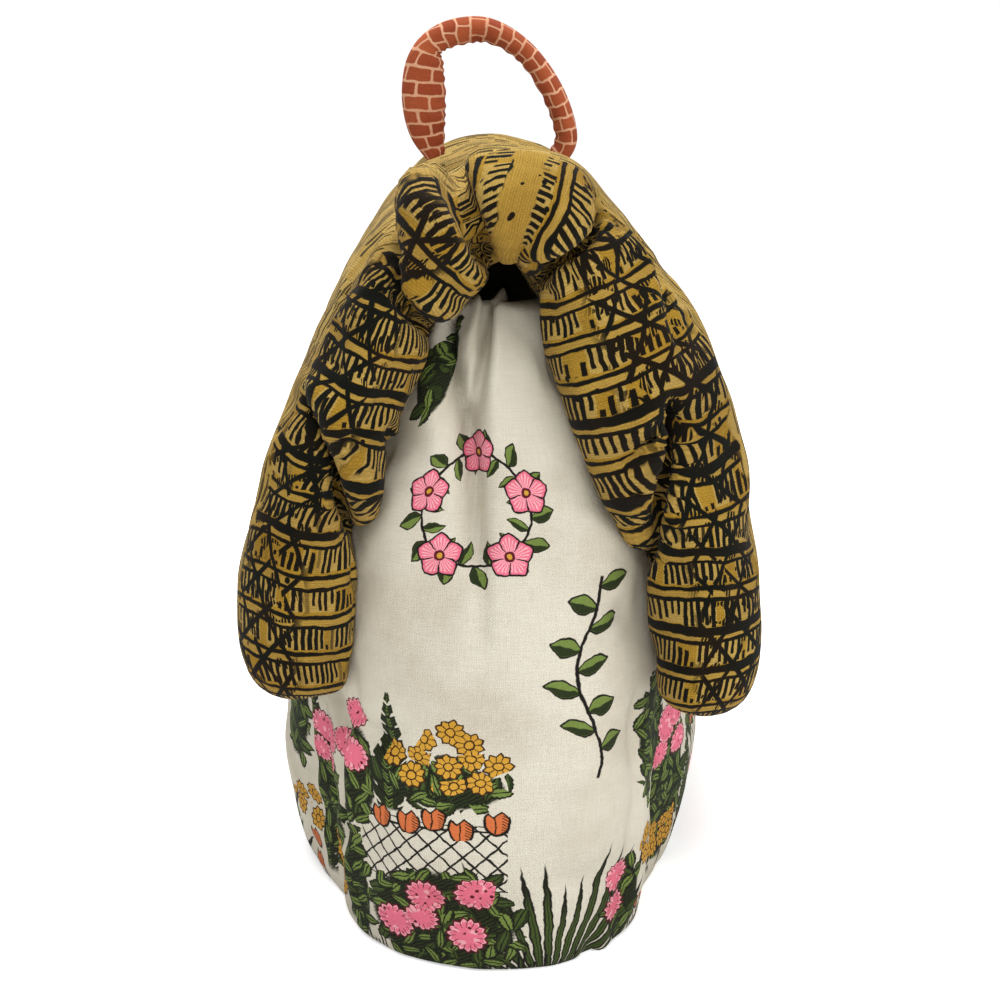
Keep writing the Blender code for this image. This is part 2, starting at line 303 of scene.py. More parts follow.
# %% [markdown]
# ## A grid that bends into a closed pad
#
# Every piece starts as `create_grid`. Each vertex knows its column and row, and a function says
# where that vertex belongs. The same column and row give the cloth coordinates (the UV map), in
# metres of cloth, so that weave and print follow the cloth round every bend. Where the edges of
# the grid meet they are merged, which closes the pad.

# %% Grid tools
WELD = 0.00002


def grid_mesh(columns, rows, notes=()):
    """A flat grid with room for notes, and the column and row of each of its vertices."""
    mesh = bmesh.new()
    mesh.loops.layers.uv.new("Cloth")
    for name in notes:
        mesh.verts.layers.float.new(name)
    bmesh.ops.create_grid(mesh, x_segments=columns, y_segments=rows, size=0.5)
    places = {
        vertex: (round((vertex.co.x + 0.5) * columns), round((vertex.co.y + 0.5) * rows))
        for vertex in mesh.verts
    }
    return mesh, places


def lay_cloth(mesh, cloth_place):
    """Writes the UV map: cloth_place gives each vertex's place on the flat cloth, in mm."""
    layer = mesh.loops.layers.uv["Cloth"]
    for face in mesh.faces:
        for loop in face.loops:
            u, v = cloth_place[loop.vert]
            loop[layer].uv = (u * MM, v * MM)


def note(mesh, name, values):
    """Keeps a number for each vertex, for the steps after the simulation."""
    layer = mesh.verts.layers.float[name]
    for vertex, value in values.items():
        vertex[layer] = float(value)


def finish_piece(mesh, name):
    bmesh.ops.remove_doubles(mesh, verts=mesh.verts, dist=WELD)
    bmesh.ops.recalc_face_normals(mesh, faces=mesh.faces)
    for face in mesh.faces:
        face.smooth = True
    data = bpy.data.meshes.new(name)
    mesh.to_mesh(data)
    mesh.free()
    piece = bpy.data.objects.new(name, data)
    bpy.context.scene.collection.objects.link(piece)
    print(name, "has", len(data.vertices), "vertices before smoothing")
    return piece


# %% [markdown]
# ## The creases of the thatch
#
# The fat verge roll bends sharply at the peak and at its knees, where the padding folds into
# deep creases and one side laps over the other. Each crease is a path over the roll, given by
# station along the arch and by the way round the roll from its inner lip.

# %% Creases of the thatch
STATION_PITCH = 31.0  # mm between two stations, for distances to a crease
GATHER_PITCH = 5.5  # mm between the small gathers along a crease
CREASES = {
    # name: (points (station, way), depth, width, lap: over 0 if the ridge side lies on top)
    "peak_left": (((5.66, 74), (5.56, 48), (5.54, 28), (5.49, 14), (5.45, -4)), 10.0, 3.0, -2.0),
    "peak_right": (((6.62, 52), (6.88, 33), (6.90, 22), (6.86, 12), (7.0, -4)), 12.0, 4.0, 2.0),
    "bolster": (((5.38, 72), (5.0, 44), (4.86, 33), (4.6, 25), (4.5, 15), (4.4, -4)), 10.0, 5.5, 3.0),
    "knee_left": (((3.3, 52), (3.12, 37), (2.9, 30), (2.52, 19), (2.12, 2), (2.1, -5)), 13.0, 6.0, 4.5),
    "notch_left": (((3.40, 13), (3.08, 3), (3.00, -5)), 4.0, 3.5, 1.0),
    "knee_right": (((8.42, 46), (9.04, 34), (9.26, 27), (9.62, 16), (10.04, 5), (10.2, -5)), 13.5, 6.0, 4.5),
    "wrinkle": (((8.55, 42), (8.70, 32), (9.02, 16)), 3.0, 3.0, 1.0),
    "pinch_high": (((7.30, 34), (6.95, 27)), 3.0, 2.5, 0.6),
    "pinch_low": (((7.35, 18), (6.95, 23)), 3.0, 2.5, 0.6),
    "ridge_left": (((5.86, 130), (5.76, 100), (5.66, 74)), 7.0, 3.5, -1.0),
    "roll_left": (((5.0, 58), (4.2, 50), (3.3, 50)), 2.5, 5.0, 0.0),
    "roll_right": (((7.1, 60), (7.7, 56), (8.4, 52)), 2.5, 5.0, 0.0),
}
SWELLS = {
    # name: (points, height, width)
    "nose": (((5.80, 20), (6.2, 18), (6.6, 20)), 3.0, 9.0),
    "nose_top": (((5.84, 66), (5.76, 46), (5.74, 30)), 3.0, 5.5),
    "beside_peak": (((5.42, 62), (5.34, 40), (5.30, 24), (5.28, 12)), 3.5, 5.0),
    "bolster": (((5.30, 50), (5.15, 28), (4.85, 8)), 1.8, 9.0),
    "middle_left": (((4.2, 34), (3.5, 26), (2.9, 12)), 1.8, 11.0),
    "upper_right": (((7.5, 30), (8.3, 22), (9.2, 10)), 1.8, 11.0),
}
SHARP = 2.3  # mm, the width of the creases after the filling
SHARP_SHARE = 0.55  # of their depth
PINCH = 0.26  # how far the sides of a crease close over it, as a share of its depth
PINCH_REACH = 4.5  # mm from the crease, where the sides move most
print("creases of the thatch:", list(CREASES))

# %% [markdown]
# ## The thatch pad
#
# Round one cross-section the skin goes from the inner lip of the front verge over its roll,
# along the outer side to the back roll, and home along the inner side. Across it, the columns
# walk the arch from the left eave to the right one, and close in a rounded end at each eave.
# The inner edge of a bent roll is shorter than its outer edge, and the cloth that is too much
# there disappears in the creases, so the cloth coordinates jump inside them. Alternatives would
# be a lofted curve or a sculpted block, but only the grid gives every point a place on the
# flat cloth.

# %% Thatch sizes
ARCH_CELLS = 128
CAP_CELLS = 4
ROLL_CELLS = 20
SLOPE_CELLS = 44
ROLL_CLOTH = 55.0  # cloth round a verge roll, from its inner lip to the slope
SLOPE_CLOTH = 205.0  # cloth between the two rolls
FILLING = 1.2  # how far inside its final form the pad starts, before it is filled
SEGMENT_CREASES = ("knee_left", "bolster", "peak_left", "peak_right", "knee_right")
SEGMENT_MIDDLES = (1.2, 3.7, 5.15, 6.2, 8.0, 10.8)  # stations where the cloth lies true
CREASE_STATIONS = 0.09  # how wide a crease is, in stations
TRUE_CLOTH = (-40.0, 58.0)  # the way round the roll between which the cloth lies so
RIDGE_CLOTH = 300.0  # where the ridge lies on the cloth coordinates, so that all are above 0
FAR_WAY = 500.0  # the way round the roll for cloth that is not on the front verge


def ring_places():
    """(turn, share, cloth) round one cross-section, from the front inner lip."""
    turns = [180.0 * i / ROLL_CELLS for i in range(ROLL_CELLS + 1)]
    shares = [i / SLOPE_CELLS for i in range(1, SLOPE_CELLS)]
    back = ROLL_CLOTH + SLOPE_CLOTH
    inside = back + ROLL_CLOTH
    ring = [(turn, 0.0, ROLL_CLOTH * turn / 180.0) for turn in turns]
    ring += [(180.0, share, ROLL_CLOTH + SLOPE_CLOTH * share) for share in shares]
    ring += [(turn, 1.0, back + ROLL_CLOTH * (1.0 - turn / 180.0)) for turn in reversed(turns)]
    ring += [(0.0, share, inside + SLOPE_CLOTH * (1.0 - share)) for share in reversed(shares)]
    return np.array(ring + [(0.0, 0.0, inside + SLOPE_CLOTH)])


def arch_places():
    """(station, cap) of the cross-sections, with the rounding of both eaves."""
    caps = [math.sin(math.pi / 2 * i / CAP_CELLS) for i in range(CAP_CELLS)]
    rows = [(0.0, cap) for cap in caps]
    rows += [(LAST_STATION * i / ARCH_CELLS, 1.0) for i in range(ARCH_CELLS + 1)]
    return np.array(rows + [(LAST_STATION, cap) for cap in reversed(caps)])


def arch_cloth(rows):
    """Cloth along the arch, in mm from the ridge: less than 0 on the left slope."""
    _, outer, _, _ = slab("middle", rows[:, 0])
    ends = EAVE_ROUNDING * np.cos(np.arcsin(rows[:, 1]))
    outer[:, 1] -= ends
    length = walked(outer)
    return length - length[len(length) // 2]


def thatch_surface(station, cap, turn, share, deep):
    """Points of the skin, deep mm below it, and the way round the roll from the inner lip."""
    front = share < 0.5
    roll = np.where(front, slab("front", station)[3], slab("back", station)[3])
    front_y = slab("front", station)[3] - VERGE_REACH
    back_y = VERGE_REACH - slab("back", station)[3]
    roll_y = np.where(front, front_y, back_y)
    angle = np.radians(turn)
    reach = np.where(front, -np.sin(angle), np.sin(angle))
    flat = (turn == 0.0) | (turn == 180.0)
    between = front_y + (back_y - front_y) * (0.5 - 0.5 * np.cos(math.pi * share))
    y = np.where(flat, between, roll_y + reach * (roll - deep) * cap)
    inner, outer, down = slab_at(station, y)
    out = (outer - inner) / np.linalg.norm(outer - inner, axis=1)[:, None]
    half = np.linalg.norm(outer - inner, axis=1) / 2 * cap - deep
    way = math.pi * roll * turn / 180.0
    way += np.where(turn == 180.0, 1.0, -1.0) * np.where(flat, np.abs(y - roll_y), 0.0)
    ends = (EAVE_ROUNDING - deep) * np.cos(np.arcsin(cap))
    middle = (inner + outer) / 2 + down * ends[:, None]
    point = middle - out * (np.cos(angle) * half)[:, None]
    return np.stack([point[:, 0], y, point[:, 1]], axis=1), np.where(front, way, FAR_WAY)


def between_creases(points, column, row, station, way, along):
    """Cloth along the arch that keeps its scale on each side of a crease and jumps inside it."""
    grid = np.zeros((row.max() + 1, column.max() + 1, 3))
    grid[row, column] = points
    lengths = walked(grid)
    columns = [CAP_CELLS + middle * ARCH_CELLS / LAST_STATION for middle in SEGMENT_MIDDLES]
    everywhere = np.arange(len(along))
    cloth = 0.0
    before = 0.0
    for index, middle in enumerate(columns):
        start = np.array([np.interp(middle, everywhere, line) for line in lengths])
        here = np.interp(middle, everywhere, along) + lengths[row, column] - start[row]
        share = 1.0
        if index > 0:
            path = np.array(CREASES[SEGMENT_CREASES[index - 1]][0])[::-1]
            edge = np.interp(way, path[:, 1], path[:, 0])
            share = smooth((station - edge) / CREASE_STATIONS + 0.5)
        cloth = cloth + share * (here - before)
        before = here
    shown = smooth((TRUE_CLOTH[1] - way) / 25.0) * smooth((way - TRUE_CLOTH[0]) / 25.0)
    return along[column] + shown * (cloth - along[column])


def make_thatch():
    ring = ring_places()
    rows = arch_places()
    cloth_along = arch_cloth(rows)
    mesh, places = grid_mesh(len(rows) - 1, len(ring) - 1, ("station", "way"))
    column, row = np.array(list(places.values())).T
    turn, share, cloth_round = ring[row].T
    station, cap = rows[column].T
    points, way = thatch_surface(station, cap, turn, share, FILLING)
    for vertex, point in zip(places, points):
        vertex.co = point * MM
    straight = between_creases(points, column, row, station, way, cloth_along)
    flat = np.stack([straight + RIDGE_CLOTH, cloth_round], axis=1)
    lay_cloth(mesh, dict(zip(places, flat)))
    note(mesh, "station", dict(zip(places, station)))
    note(mesh, "way", dict(zip(places, way)))
    return finish_piece(mesh, "thatch_pad")


thatch_pad = make_thatch()
print("thatch cloth along the arch:", arch_cloth(arch_places())[[0, -1]].round(), "mm")

# %% [markdown]
# ## The linen walls
#
# A gable panel and two side panels meet at a seam near each corner. Each panel is padded in its
# middle and drawn thin at its seams and hem. The tables give, at each height, where the corner
# seam stands, how far the gable reaches out and how wide the cosy is at mid length. Higher up,
# inside the thatch, the walls give way to it.

# %% Wall tables
WALL_TOP = 210.0  # hidden in the ridge
PAD_THICKNESS = 9.0  # in the middle of a panel
SEAM_THICKNESS = 3.4  # at its seams and hem
SEAM_GAP = 0.4  # between two panels
THATCH_CLEARANCE = 1.6  # between the walls and the thatch
EAVE_HEIGHT = 70.0  # above it the walls give way to the thatch
INNER_POINTS = 97  # on the thatch's inner side, from eave to eave
WALL_HEIGHTS = (0.0, 40.0, 84.0, 112.0, 140.0, 165.0, 190.0, 210.0)
CORNER_X = (47.0, 51.0, 53.0, 53.0, 50.0, 42.0, 32.0, 20.0)
CORNER_Y = (76.0, 78.0, 78.0, 77.0, 77.0, 78.0, 79.0, 80.0)
GABLE_Y = (124.0, 123.0, 119.0, 115.0, 111.0, 106.0, 101.0, 96.0)
HALF_WIDTH = (67.0, 74.0, 69.0, 66.0, 60.0, 52.0, 40.0, 24.0)
BOW = {-1.0: 3.0, 1.0: 1.8}  # how square the left and right walls bow out


def wall_size(column, z):
    return float(np.interp(z, WALL_HEIGHTS, column))


@functools.lru_cache(maxsize=None)
def inner_line(y):
    """The thatch's inner side at y, as points from the left eave to the right one."""
    stations = np.linspace(0.0, LAST_STATION, INNER_POINTS)
    return slab_at(stations, np.full(INNER_POINTS, float(y)))[0]


def thatch_inside(y, z, side):
    """How far from the middle the thatch's inner side is, on the left (-1) or right (1)."""
    points = inner_line(round(float(y)))
    middle = INNER_POINTS // 2
    half = points[: middle + 1] if side < 0.0 else points[: middle - 1 : -1]
    return float(np.interp(z, half[:, 1], side * half[:, 0]))


@functools.lru_cache(maxsize=None)
def corner(z, side, end):
    """Where the seam between a gable (end) and a side wall stands at height z."""
    y = wall_size(CORNER_Y, z)
    x = wall_size(CORNER_X, z)
    if z > EAVE_HEIGHT:
        room = thatch_inside(end * y, z, side) - THATCH_CLEARANCE - SEAM_THICKNESS / 2
        x = max(min(x, room), SEAM_THICKNESS)
    return side * x, end * y


print("front left corner at the hem:", corner(0.0, -1.0, -1.0), "mm")

# %% [markdown]
# ## Plans of the panels
#
# A gable panel is half an ellipse in plan, from corner to corner. A side panel bows out from
# its two corners, more squarely on the left than on the right. The front gable has a soft
# valley that runs down from the peak, because its middle is sewn to the ridge.

# %% Plans of the panels
VALLEY_PLACE = 0.46  # of the way across the front gable
VALLEY_WIDTH = 0.12
VALLEY_DEPTH = 4.0  # mm, reached at the top
VALLEY_FOOT = 90.0  # the height where it begins


def gable_line(t, z, end):
    """Plan of a gable panel's middle at height z, from its left seam (0) to its right (1)."""
    angle = math.radians(180.0 * t - 90.0)
    left, corner_y = corner(z, -1.0, end)
    right, _ = corner(z, 1.0, end)
    foot = corner_y + end * SEAM_GAP / 2
    reach = end * (wall_size(GABLE_Y, z) - PAD_THICKNESS / 2) - foot
    x = (left + right) / 2 + (right - left) / 2 * math.sin(angle)
    y = foot + reach * math.cos(angle)
    if end < 0.0:
        valley = math.exp(-(((t - VALLEY_PLACE) / VALLEY_WIDTH) ** 2))
        y += VALLEY_DEPTH * smooth((z - VALLEY_FOOT) / 90.0) * valley
    return np.array((x, y))


def side_line(t, z, side):
    """Plan of a side wall's middle at height z, from its front seam (0) to its back (1)."""
    front_x, front_y = corner(z, side, -1.0)
    back_x, back_y = corner(z, side, 1.0)
    share = 2.0 * t - 1.0
    y = (front_y + SEAM_GAP / 2) * (1.0 - t) + (back_y - SEAM_GAP / 2) * t
    seam_x = front_x * (1.0 - t) + back_x * t
    half_width = wall_size(HALF_WIDTH, z) - PAD_THICKNESS / 2
    bow = max(half_width - abs(seam_x), 0.0) * (1.0 - abs(share) ** BOW[side])
    x = abs(seam_x) + bow
    if z > EAVE_HEIGHT:
        x = min(x, thatch_inside(y, z, side) - THATCH_CLEARANCE - SEAM_THICKNESS / 2)
    return np.array((side * x, y))


def padding(t, row):
    """Thickness at t from one seam to the other, row cells above the hem."""
    edge = min(t, 1.0 - t)
    full = math.sqrt(smooth(edge / 0.2)) * (0.35 + 0.65 * smooth(row / 6.0))
    return SEAM_THICKNESS + (PAD_THICKNESS - SEAM_THICKNESS) * full


print("gable at the hem reaches y =", gable_line(0.5, 0.0, -1.0)[1].round(1), "mm")

# %% [markdown]
# ## Sewing a panel
#
# The grid is extruded once, which gives the two faces and the seam edge between them. The outer
# and inner sheet then move apart by the padding. All four panels take neighbouring stretches of
# one strip of cloth, so that the printed border runs on round the cosy. The parts of each panel
# are put in order at the end, because the simulation gives a slightly other result for each
# order.

# %% Panels
PANELS = {
    # name: (plan, hand, columns, rows, where its cloth starts on the strip, its width)
    "gable_front_panel": (gable_line, -1.0, 44, 66, 10.0, 150.0),
    "side_right_panel": (side_line, 1.0, 48, 60, 160.0, 165.0),
    "gable_back_panel": (gable_line, 1.0, 44, 60, 330.0, 150.0),
    "side_left_panel": (side_line, -1.0, 48, 60, 485.0, 165.0),
}


def in_order(mesh):
    """Sorts a panel's parts by place: extruding leaves them in an order that differs each run."""
    outside, height, share = (mesh.verts.layers.float[key] for key in ("outside", "height", "share"))
    mesh.verts.sort(key=lambda v: v[outside] * 1e6 + v[height] * 1e3 + v[share] * 1e2)
    mesh.verts.index_update()
    count = len(mesh.verts)
    for parts in (mesh.edges, mesh.faces):
        parts.sort(
            key=lambda part: min(v.index for v in part.verts) * count + max(v.index for v in part.verts)
        )
        parts.index_update()


def make_panel(name, plan, hand, columns, rows, start, width):
    mesh, places = grid_mesh(columns, rows, ("share", "height", "outside"))
    sheet = dict(places)
    for vertex in bmesh.ops.extrude_face_region(mesh, geom=mesh.faces[:])["geom"]:
        if isinstance(vertex, bmesh.types.BMVert):
            column = round((vertex.co.x + 0.5) * columns)
            sheet[vertex] = (column, round((vertex.co.y + 0.5) * rows))
    flat, shares, heights, outside = {}, {}, {}, {}
    for vertex, (column, row) in sheet.items():
        t = column / columns
        z = WALL_TOP * row / rows
        along = plan(min(t + 0.01, 1.0), z, hand) - plan(max(t - 0.01, 0.0), z, hand)
        along /= np.linalg.norm(along)
        middle = plan(t, z, hand)
        out = np.array((along[1], -along[0]))
        out *= math.copysign(1.0, np.dot(out, middle))
        face = 0.5 if vertex in places else -0.5
        x, y = middle + out * padding(t, row) * face
        side = math.copysign(1.0, middle[0])
        if z > EAVE_HEIGHT and face > 0.0:
            x = side * min(side * x, thatch_inside(y, z, side) - THATCH_CLEARANCE)
        vertex.co = Vector((x, y, z)) * MM
        seen = t if (plan is gable_line) == (hand < 0.0) else 1.0 - t
        flat[vertex] = (start + width * seen, z)
        shares[vertex], heights[vertex], outside[vertex] = t, z, face + 0.5
    lay_cloth(mesh, flat)
    note(mesh, "share", shares)
    note(mesh, "height", heights)
    note(mesh, "outside", outside)
    in_order(mesh)
    return finish_piece(mesh, name)


panels = {name: make_panel(name, *facts) for name, facts in PANELS.items()}

# %% [markdown]
# ## The loop handle
#
# The handle is a strap of brick-printed cotton, stuffed and sewn shut along its inner edge. The
# table gives its middle line, its width and thickness, and how far its flat side turns. The
# seam is shorter than the stuffing wants to be, so the inner edge puckers.

# %% Loop
LOOP = (
    # x, z, half_width, half_thickness, turn
    (-19.5, 243.8, 3.4, 2.6, 10.0),
    (-22.5, 253.0, 6.4, 4.2, 6.0),
    (-23.5, 264.0, 7.6, 4.8, 0.0),
    (-23.0, 275.0, 6.6, 4.6, 8.0),
    (-20.5, 281.5, 4.6, 4.2, 30.0),
    (-12.5, 285.3, 5.2, 4.6, 70.0),
    (-1.0, 285.7, 6.2, 4.2, 84.0),
    (11.0, 278.5, 6.2, 3.8, 86.0),
    (20.5, 265.0, 6.4, 4.0, 86.0),
    (25.0, 250.5, 6.2, 3.8, 80.0),
    (21.0, 242.6, 4.6, 3.2, 70.0),
)
STRAP_CELLS = (150, 36)
STRAP_WIDTH = 34.0  # of cloth round the strap
PUCKERS = 27.0  # along the strap
PUCKER_DEPTH = 0.55


def make_loop():
    along_cells, round_cells = STRAP_CELLS
    mesh, places = grid_mesh(along_cells, round_cells)
    rows = np.array(LOOP, float)
    last = len(rows) - 1
    spine = glide(rows, np.linspace(0.0, last, along_cells + 1))
    length = walked(spine[:, :2])
    flat = {}
    for vertex, (column, row) in places.items():
        x, z, half_width, half_thickness, turn = spine[column]
        t = last * column / along_cells
        along = (glide(rows, t + 0.1) - glide(rows, t - 0.1))[0, :2]
        along /= np.linalg.norm(along)
        out = np.array((along[1], 0.0, -along[0]))
        deep = np.array((0.0, 1.0, 0.0))
        turn = math.radians(turn)
        broad = out * math.cos(turn) + deep * math.sin(turn)
        thin = deep * math.cos(turn) - out * math.sin(turn)
        angle = 2.0 * math.pi * row / round_cells
        edge = broad * half_width * math.cos(angle) + thin * half_thickness * math.sin(angle)
        size = np.linalg.norm(edge)
        inward = smooth(np.dot(edge / size, out) * 0.5 + 0.35)
        wave = math.sin(2.0 * math.pi * PUCKERS * column / along_cells + 1.3 * math.sin(0.3 * column))
        edge *= 1.0 - PUCKER_DEPTH * inward * (0.5 + 0.5 * wave) / size
        vertex.co = Vector(np.array((x, 0.0, z)) + edge) * MM
        flat[vertex] = (10.0 + length[column], 10.0 + STRAP_WIDTH * row / round_cells)
    lay_cloth(mesh, flat)
    bmesh.ops.remove_doubles(mesh, verts=mesh.verts, dist=WELD)
    bmesh.ops.holes_fill(mesh, edges=mesh.edges, sides=0)
    print("strap length", round(length[-1], 1), "mm")
    return finish_piece(mesh, "loop_strap")


loop_strap = make_loop()

# %% [markdown]
# ## Filling the pads
#
# Padding pushes its cloth outwards everywhere except where a seam or a pinch holds it. Blender's
# cloth simulation does the same with pressure. The cloth is cut a little larger than its frame
# (the slack), so it buckles into small wrinkles near what holds it. A point may move only a few
# millimetres, which keeps the pad in the space that it has on the real cosy.

# %% Cloth simulation
FRAMES = 20
PRESSURE = 4.0


def vectors(data, kind="co"):
    """The place ("co") or the direction ("normal") of each vertex."""
    numbers = np.empty(len(data.vertices) * 3)
    data.vertices.foreach_get(kind, numbers)
    return numbers.reshape(-1, 3)


def put(piece, points):
    piece.data.vertices.foreach_set("co", points.ravel())
    piece.data.update()


def noted(data, name):
    values = np.empty(len(data.vertices))
    data.attributes[name].data.foreach_get("value", values)
    return values


def evaluated_points(piece):
    graph = bpy.context.evaluated_depsgraph_get()
    evaluated = piece.evaluated_get(graph)
    points = vectors(evaluated.to_mesh())
    evaluated.to_mesh_clear()
    return points


def fill_pad(piece, held, slack, limit):
    """Blows the piece up like a filled pad. held is 1 where a seam holds it; limit is in mm."""
    pins = piece.vertex_groups.new(name="held")
    for index, weight in enumerate(held):
        pins.add([index], float(weight), "REPLACE")
    filling = piece.modifiers.new("Filling", "CLOTH")
    settings = filling.settings
    settings.quality = 5
    settings.mass = 0.15
    settings.tension_stiffness = 15.0
    settings.compression_stiffness = 15.0
    settings.bending_stiffness = 0.3
    settings.use_pressure = True
    settings.uniform_pressure_force = PRESSURE
    settings.vertex_group_mass = "held"
    settings.shrink_min = -slack
    settings.effector_weights.gravity = 0.0
    filling.point_cache.frame_end = FRAMES
    before = vectors(piece.data)
    for frame_number in range(1, FRAMES + 1):
        bpy.context.scene.frame_set(frame_number)
    move = evaluated_points(piece) - before
    piece.modifiers.remove(filling)
    piece.vertex_groups.clear()
    far = np.linalg.norm(move, axis=1)
    move *= (np.minimum(far, limit * MM) / np.maximum(far, 1e-9))[:, None]
    put(piece, before + move)
    bpy.context.scene.frame_set(1)
    print(piece.name, "filled: moved up to", round(far.max() / MM, 1), "mm, kept to", limit)


def subdivided(piece):
    """One level of subdivision, applied, so that creases can be pressed into the finer mesh."""
    finer = piece.modifiers.new("Finer", "SUBSURF")
    finer.levels = 1
    finer.render_levels = 1
    graph = bpy.context.evaluated_depsgraph_get()
    piece.data = bpy.data.meshes.new_from_object(piece.evaluated_get(graph))
    piece.modifiers.clear()
    print(piece.name, "now has", len(piece.data.polygons), "faces")


# %% [markdown]
# ## Pressing the creases in
#
# The creases hold the cloth during the filling. About half of their depth is pressed in before
# it, widely, and the rest after it, sharply. One side of a crease laps over the other, small
# gathers cross it, and at last its two sides are drawn together until they nearly meet.

# %% Crease tools


def on_arch(points):
    return [np.array((station * STATION_PITCH, way)) for station, way in points]


def to_path(here, points):
    """Signed distance of each place from a path, and how far along the path it is, in mm."""
    best = np.full(len(here), 1e9)
    side, along_path, behind = np.zeros(len(here)), np.zeros(len(here)), 0.0
    for start, end in zip(points, points[1:]):
        along = end - start
        share = np.clip((here - start) @ along / (along @ along), 0.0, 1.0)
        gap = here - (start + share[:, None] * along)
        far = np.linalg.norm(gap, axis=1)
        nearer = far < best
        best = np.where(nearer, far, best)
        side = np.where(nearer, np.sign(along[0] * gap[:, 1] - along[1] * gap[:, 0]), side)
        along_path = np.where(nearer, behind + share * np.linalg.norm(along), along_path)
        behind += np.linalg.norm(along)
    return best * side, along_path, behind


def crease_fields(station, way):
    """For each crease: its numbers, the distance to it, the place along it and its strength."""
    here = np.stack([station * STATION_PITCH, way], axis=1)
    for points, depth, width, lap in CREASES.values():
        gap, along, length = to_path(here, on_arch(points))
        ridgeward = gap if points[0][0] < RIDGE_STATION else -gap
        end = smooth(along / 14.0) * np.where(way > 0.0, 1.0, smooth((way + 12.0) / 12.0))
        tail = 1.0 if points[-1][1] < 0.0 else smooth((length - along) / 10.0)
        side = math.copysign(1.0, lap + 0.01)
        yield depth, width, abs(lap), ridgeward * side, along, end * tail


def creased(station, way, sharp):
    """How far the front verge stands out (+) or is drawn in (-), in mm: its wide or sharp half."""
    lift = np.zeros(len(station))
    for depth, width, lap, gap, along, strength in crease_fields(station, way):
        spread = SHARP if sharp else width
        share = SHARP_SHARE if sharp else 1.0 - SHARP_SHARE
        lift -= strength * depth * share * np.exp(-((gap / spread) ** 2))
        lift += strength * lap / 2 * smooth(gap / 5.0) * np.exp(-(((gap - 6.0) / 8.0) ** 2))
        gathers = np.sin(2.0 * math.pi * along / GATHER_PITCH + gap / 5.0)
        lift += strength * 0.3 * gathers * np.exp(-np.abs(gap) / 8.0) * smooth(np.abs(gap) / 4.0)
    return lift


def swollen(station, way):
    lift = np.zeros(len(station))
    here = np.stack([station * STATION_PITCH, way], axis=1)
    for points, height, width in SWELLS.values():
        gap, _, _ = to_path(here, on_arch(points))
        lift += height * np.exp(-((gap / width) ** 2))
    return lift


def held_by_creases(station, way):
    held = np.zeros(len(station))
    for _, _, _, gap, _, strength in crease_fields(station, way):
        held = np.maximum(held, strength * np.exp(-((gap / 3.0) ** 2)))
    return held


def push(piece, lift):
    """Moves each vertex along its normal by lift mm."""
    put(piece, vectors(piece.data) + vectors(piece.data, "normal") * lift[:, None] * MM)


def lumps(piece, size, height, seed):
    """Soft unevenness of the padding: lumps of about size mm, up to height mm."""
    shift = Vector((seed, 2.0 * seed, 3.0 * seed))
    points = vectors(piece.data) / (size * MM)
    return np.array([noise.noise(Vector(point) + shift) for point in points]) * 2.0 * height


def close_creases(piece, station, way):
    """Moves both sides of each crease towards it along the surface, so that they nearly meet."""
    points, up = vectors(piece.data), vectors(piece.data, "normal")
    here = np.stack([station * STATION_PITCH, way], axis=1)
    move = np.zeros_like(points)
    for facts, (depth, _, _, gap, _, strength) in zip(CREASES.values(), crease_fields(station, way)):
        path = glide(np.array(on_arch(facts[0])), np.linspace(0.0, len(facts[0]) - 1.0, 50))
        line = points[[np.linalg.norm(here - place, axis=1).argmin() for place in path]]
        near = np.flatnonzero((np.abs(gap) < 3.0 * PINCH_REACH) & (strength > 0.01))
        towards = line[None] - points[near][:, None]
        closest = np.linalg.norm(towards, axis=2).argmin(axis=1)
        towards = towards[np.arange(len(near)), closest]
        towards -= up[near] * np.sum(towards * up[near], axis=1)[:, None]
        far = np.linalg.norm(towards, axis=1) + 1e-9
        wish = np.exp(-(((np.abs(gap[near]) - PINCH_REACH) / PINCH_REACH) ** 2))
        wish *= PINCH * depth * strength[near] * MM
        move[near] += towards * (np.minimum(wish, 0.7 * far) / far)[:, None]
    put(piece, points + move)


starts = {name: on_arch(facts[0])[0].round() for name, facts in CREASES.items()}
print("creases start at, in mm:", starts)

# %% [markdown]
# ## Folds of the linen
#
# The front wall is not flat. Two valleys run down from the ridge and meet in one line. The wall
# stands proud along its left edge, where it laps over the side wall, and has one slack fold low
# on the left. A fold is a path on the cloth with a height and a width.

# %% Folds of the front wall
FOLDS = {
    # name: (points (along the strip, height), lift, width)
    "valley": (((46, 212), (57, 197), (67, 187), (74, 176), (78, 162), (80, 132)), -7.5, 4.0),
    "second_valley": (((90, 214), (83, 199), (79, 188), (76, 170)), -5.5, 3.4),
    "between_valleys": (((66, 216), (69, 204), (72, 194)), 3.0, 5.0),
    "left_of_valley": (((45, 198), (58, 180), (67, 160)), 2.4, 5.0),
    "right_of_valley": (((95, 208), (88, 188), (87, 164)), 2.4, 5.0),
    "valley_line": (((62, 192), (74, 177), (79, 160), (82, 134), (82, 106)), -2.4, 1.8),
    "proud_edge": (((33, 96), (38, 74), (38, 46), (32, 8)), 2.2, 4.5),
    "behind_edge": (((27, 96), (31, 70), (30, 40), (24, 6)), -2.6, 3.5),
    "slack_groove": (((34, 84), (50, 77), (70, 67)), -1.6, 2.2),
    "slack_fold": (((36, 77), (52, 70), (72, 61)), 1.4, 4.0),
    "hem_ripple": (((118, -4), (116, 10)), -2.4, 3.0),
    "hem_bulge": (((124, -4), (122, 16)), 1.2, 3.5),
    "right_edge": (((131, 90), (133, 50), (129, 6)), -2.0, 4.0),
    "under_pad": (((112, 128), (126, 112), (131, 100)), -1.2, 4.0),
}


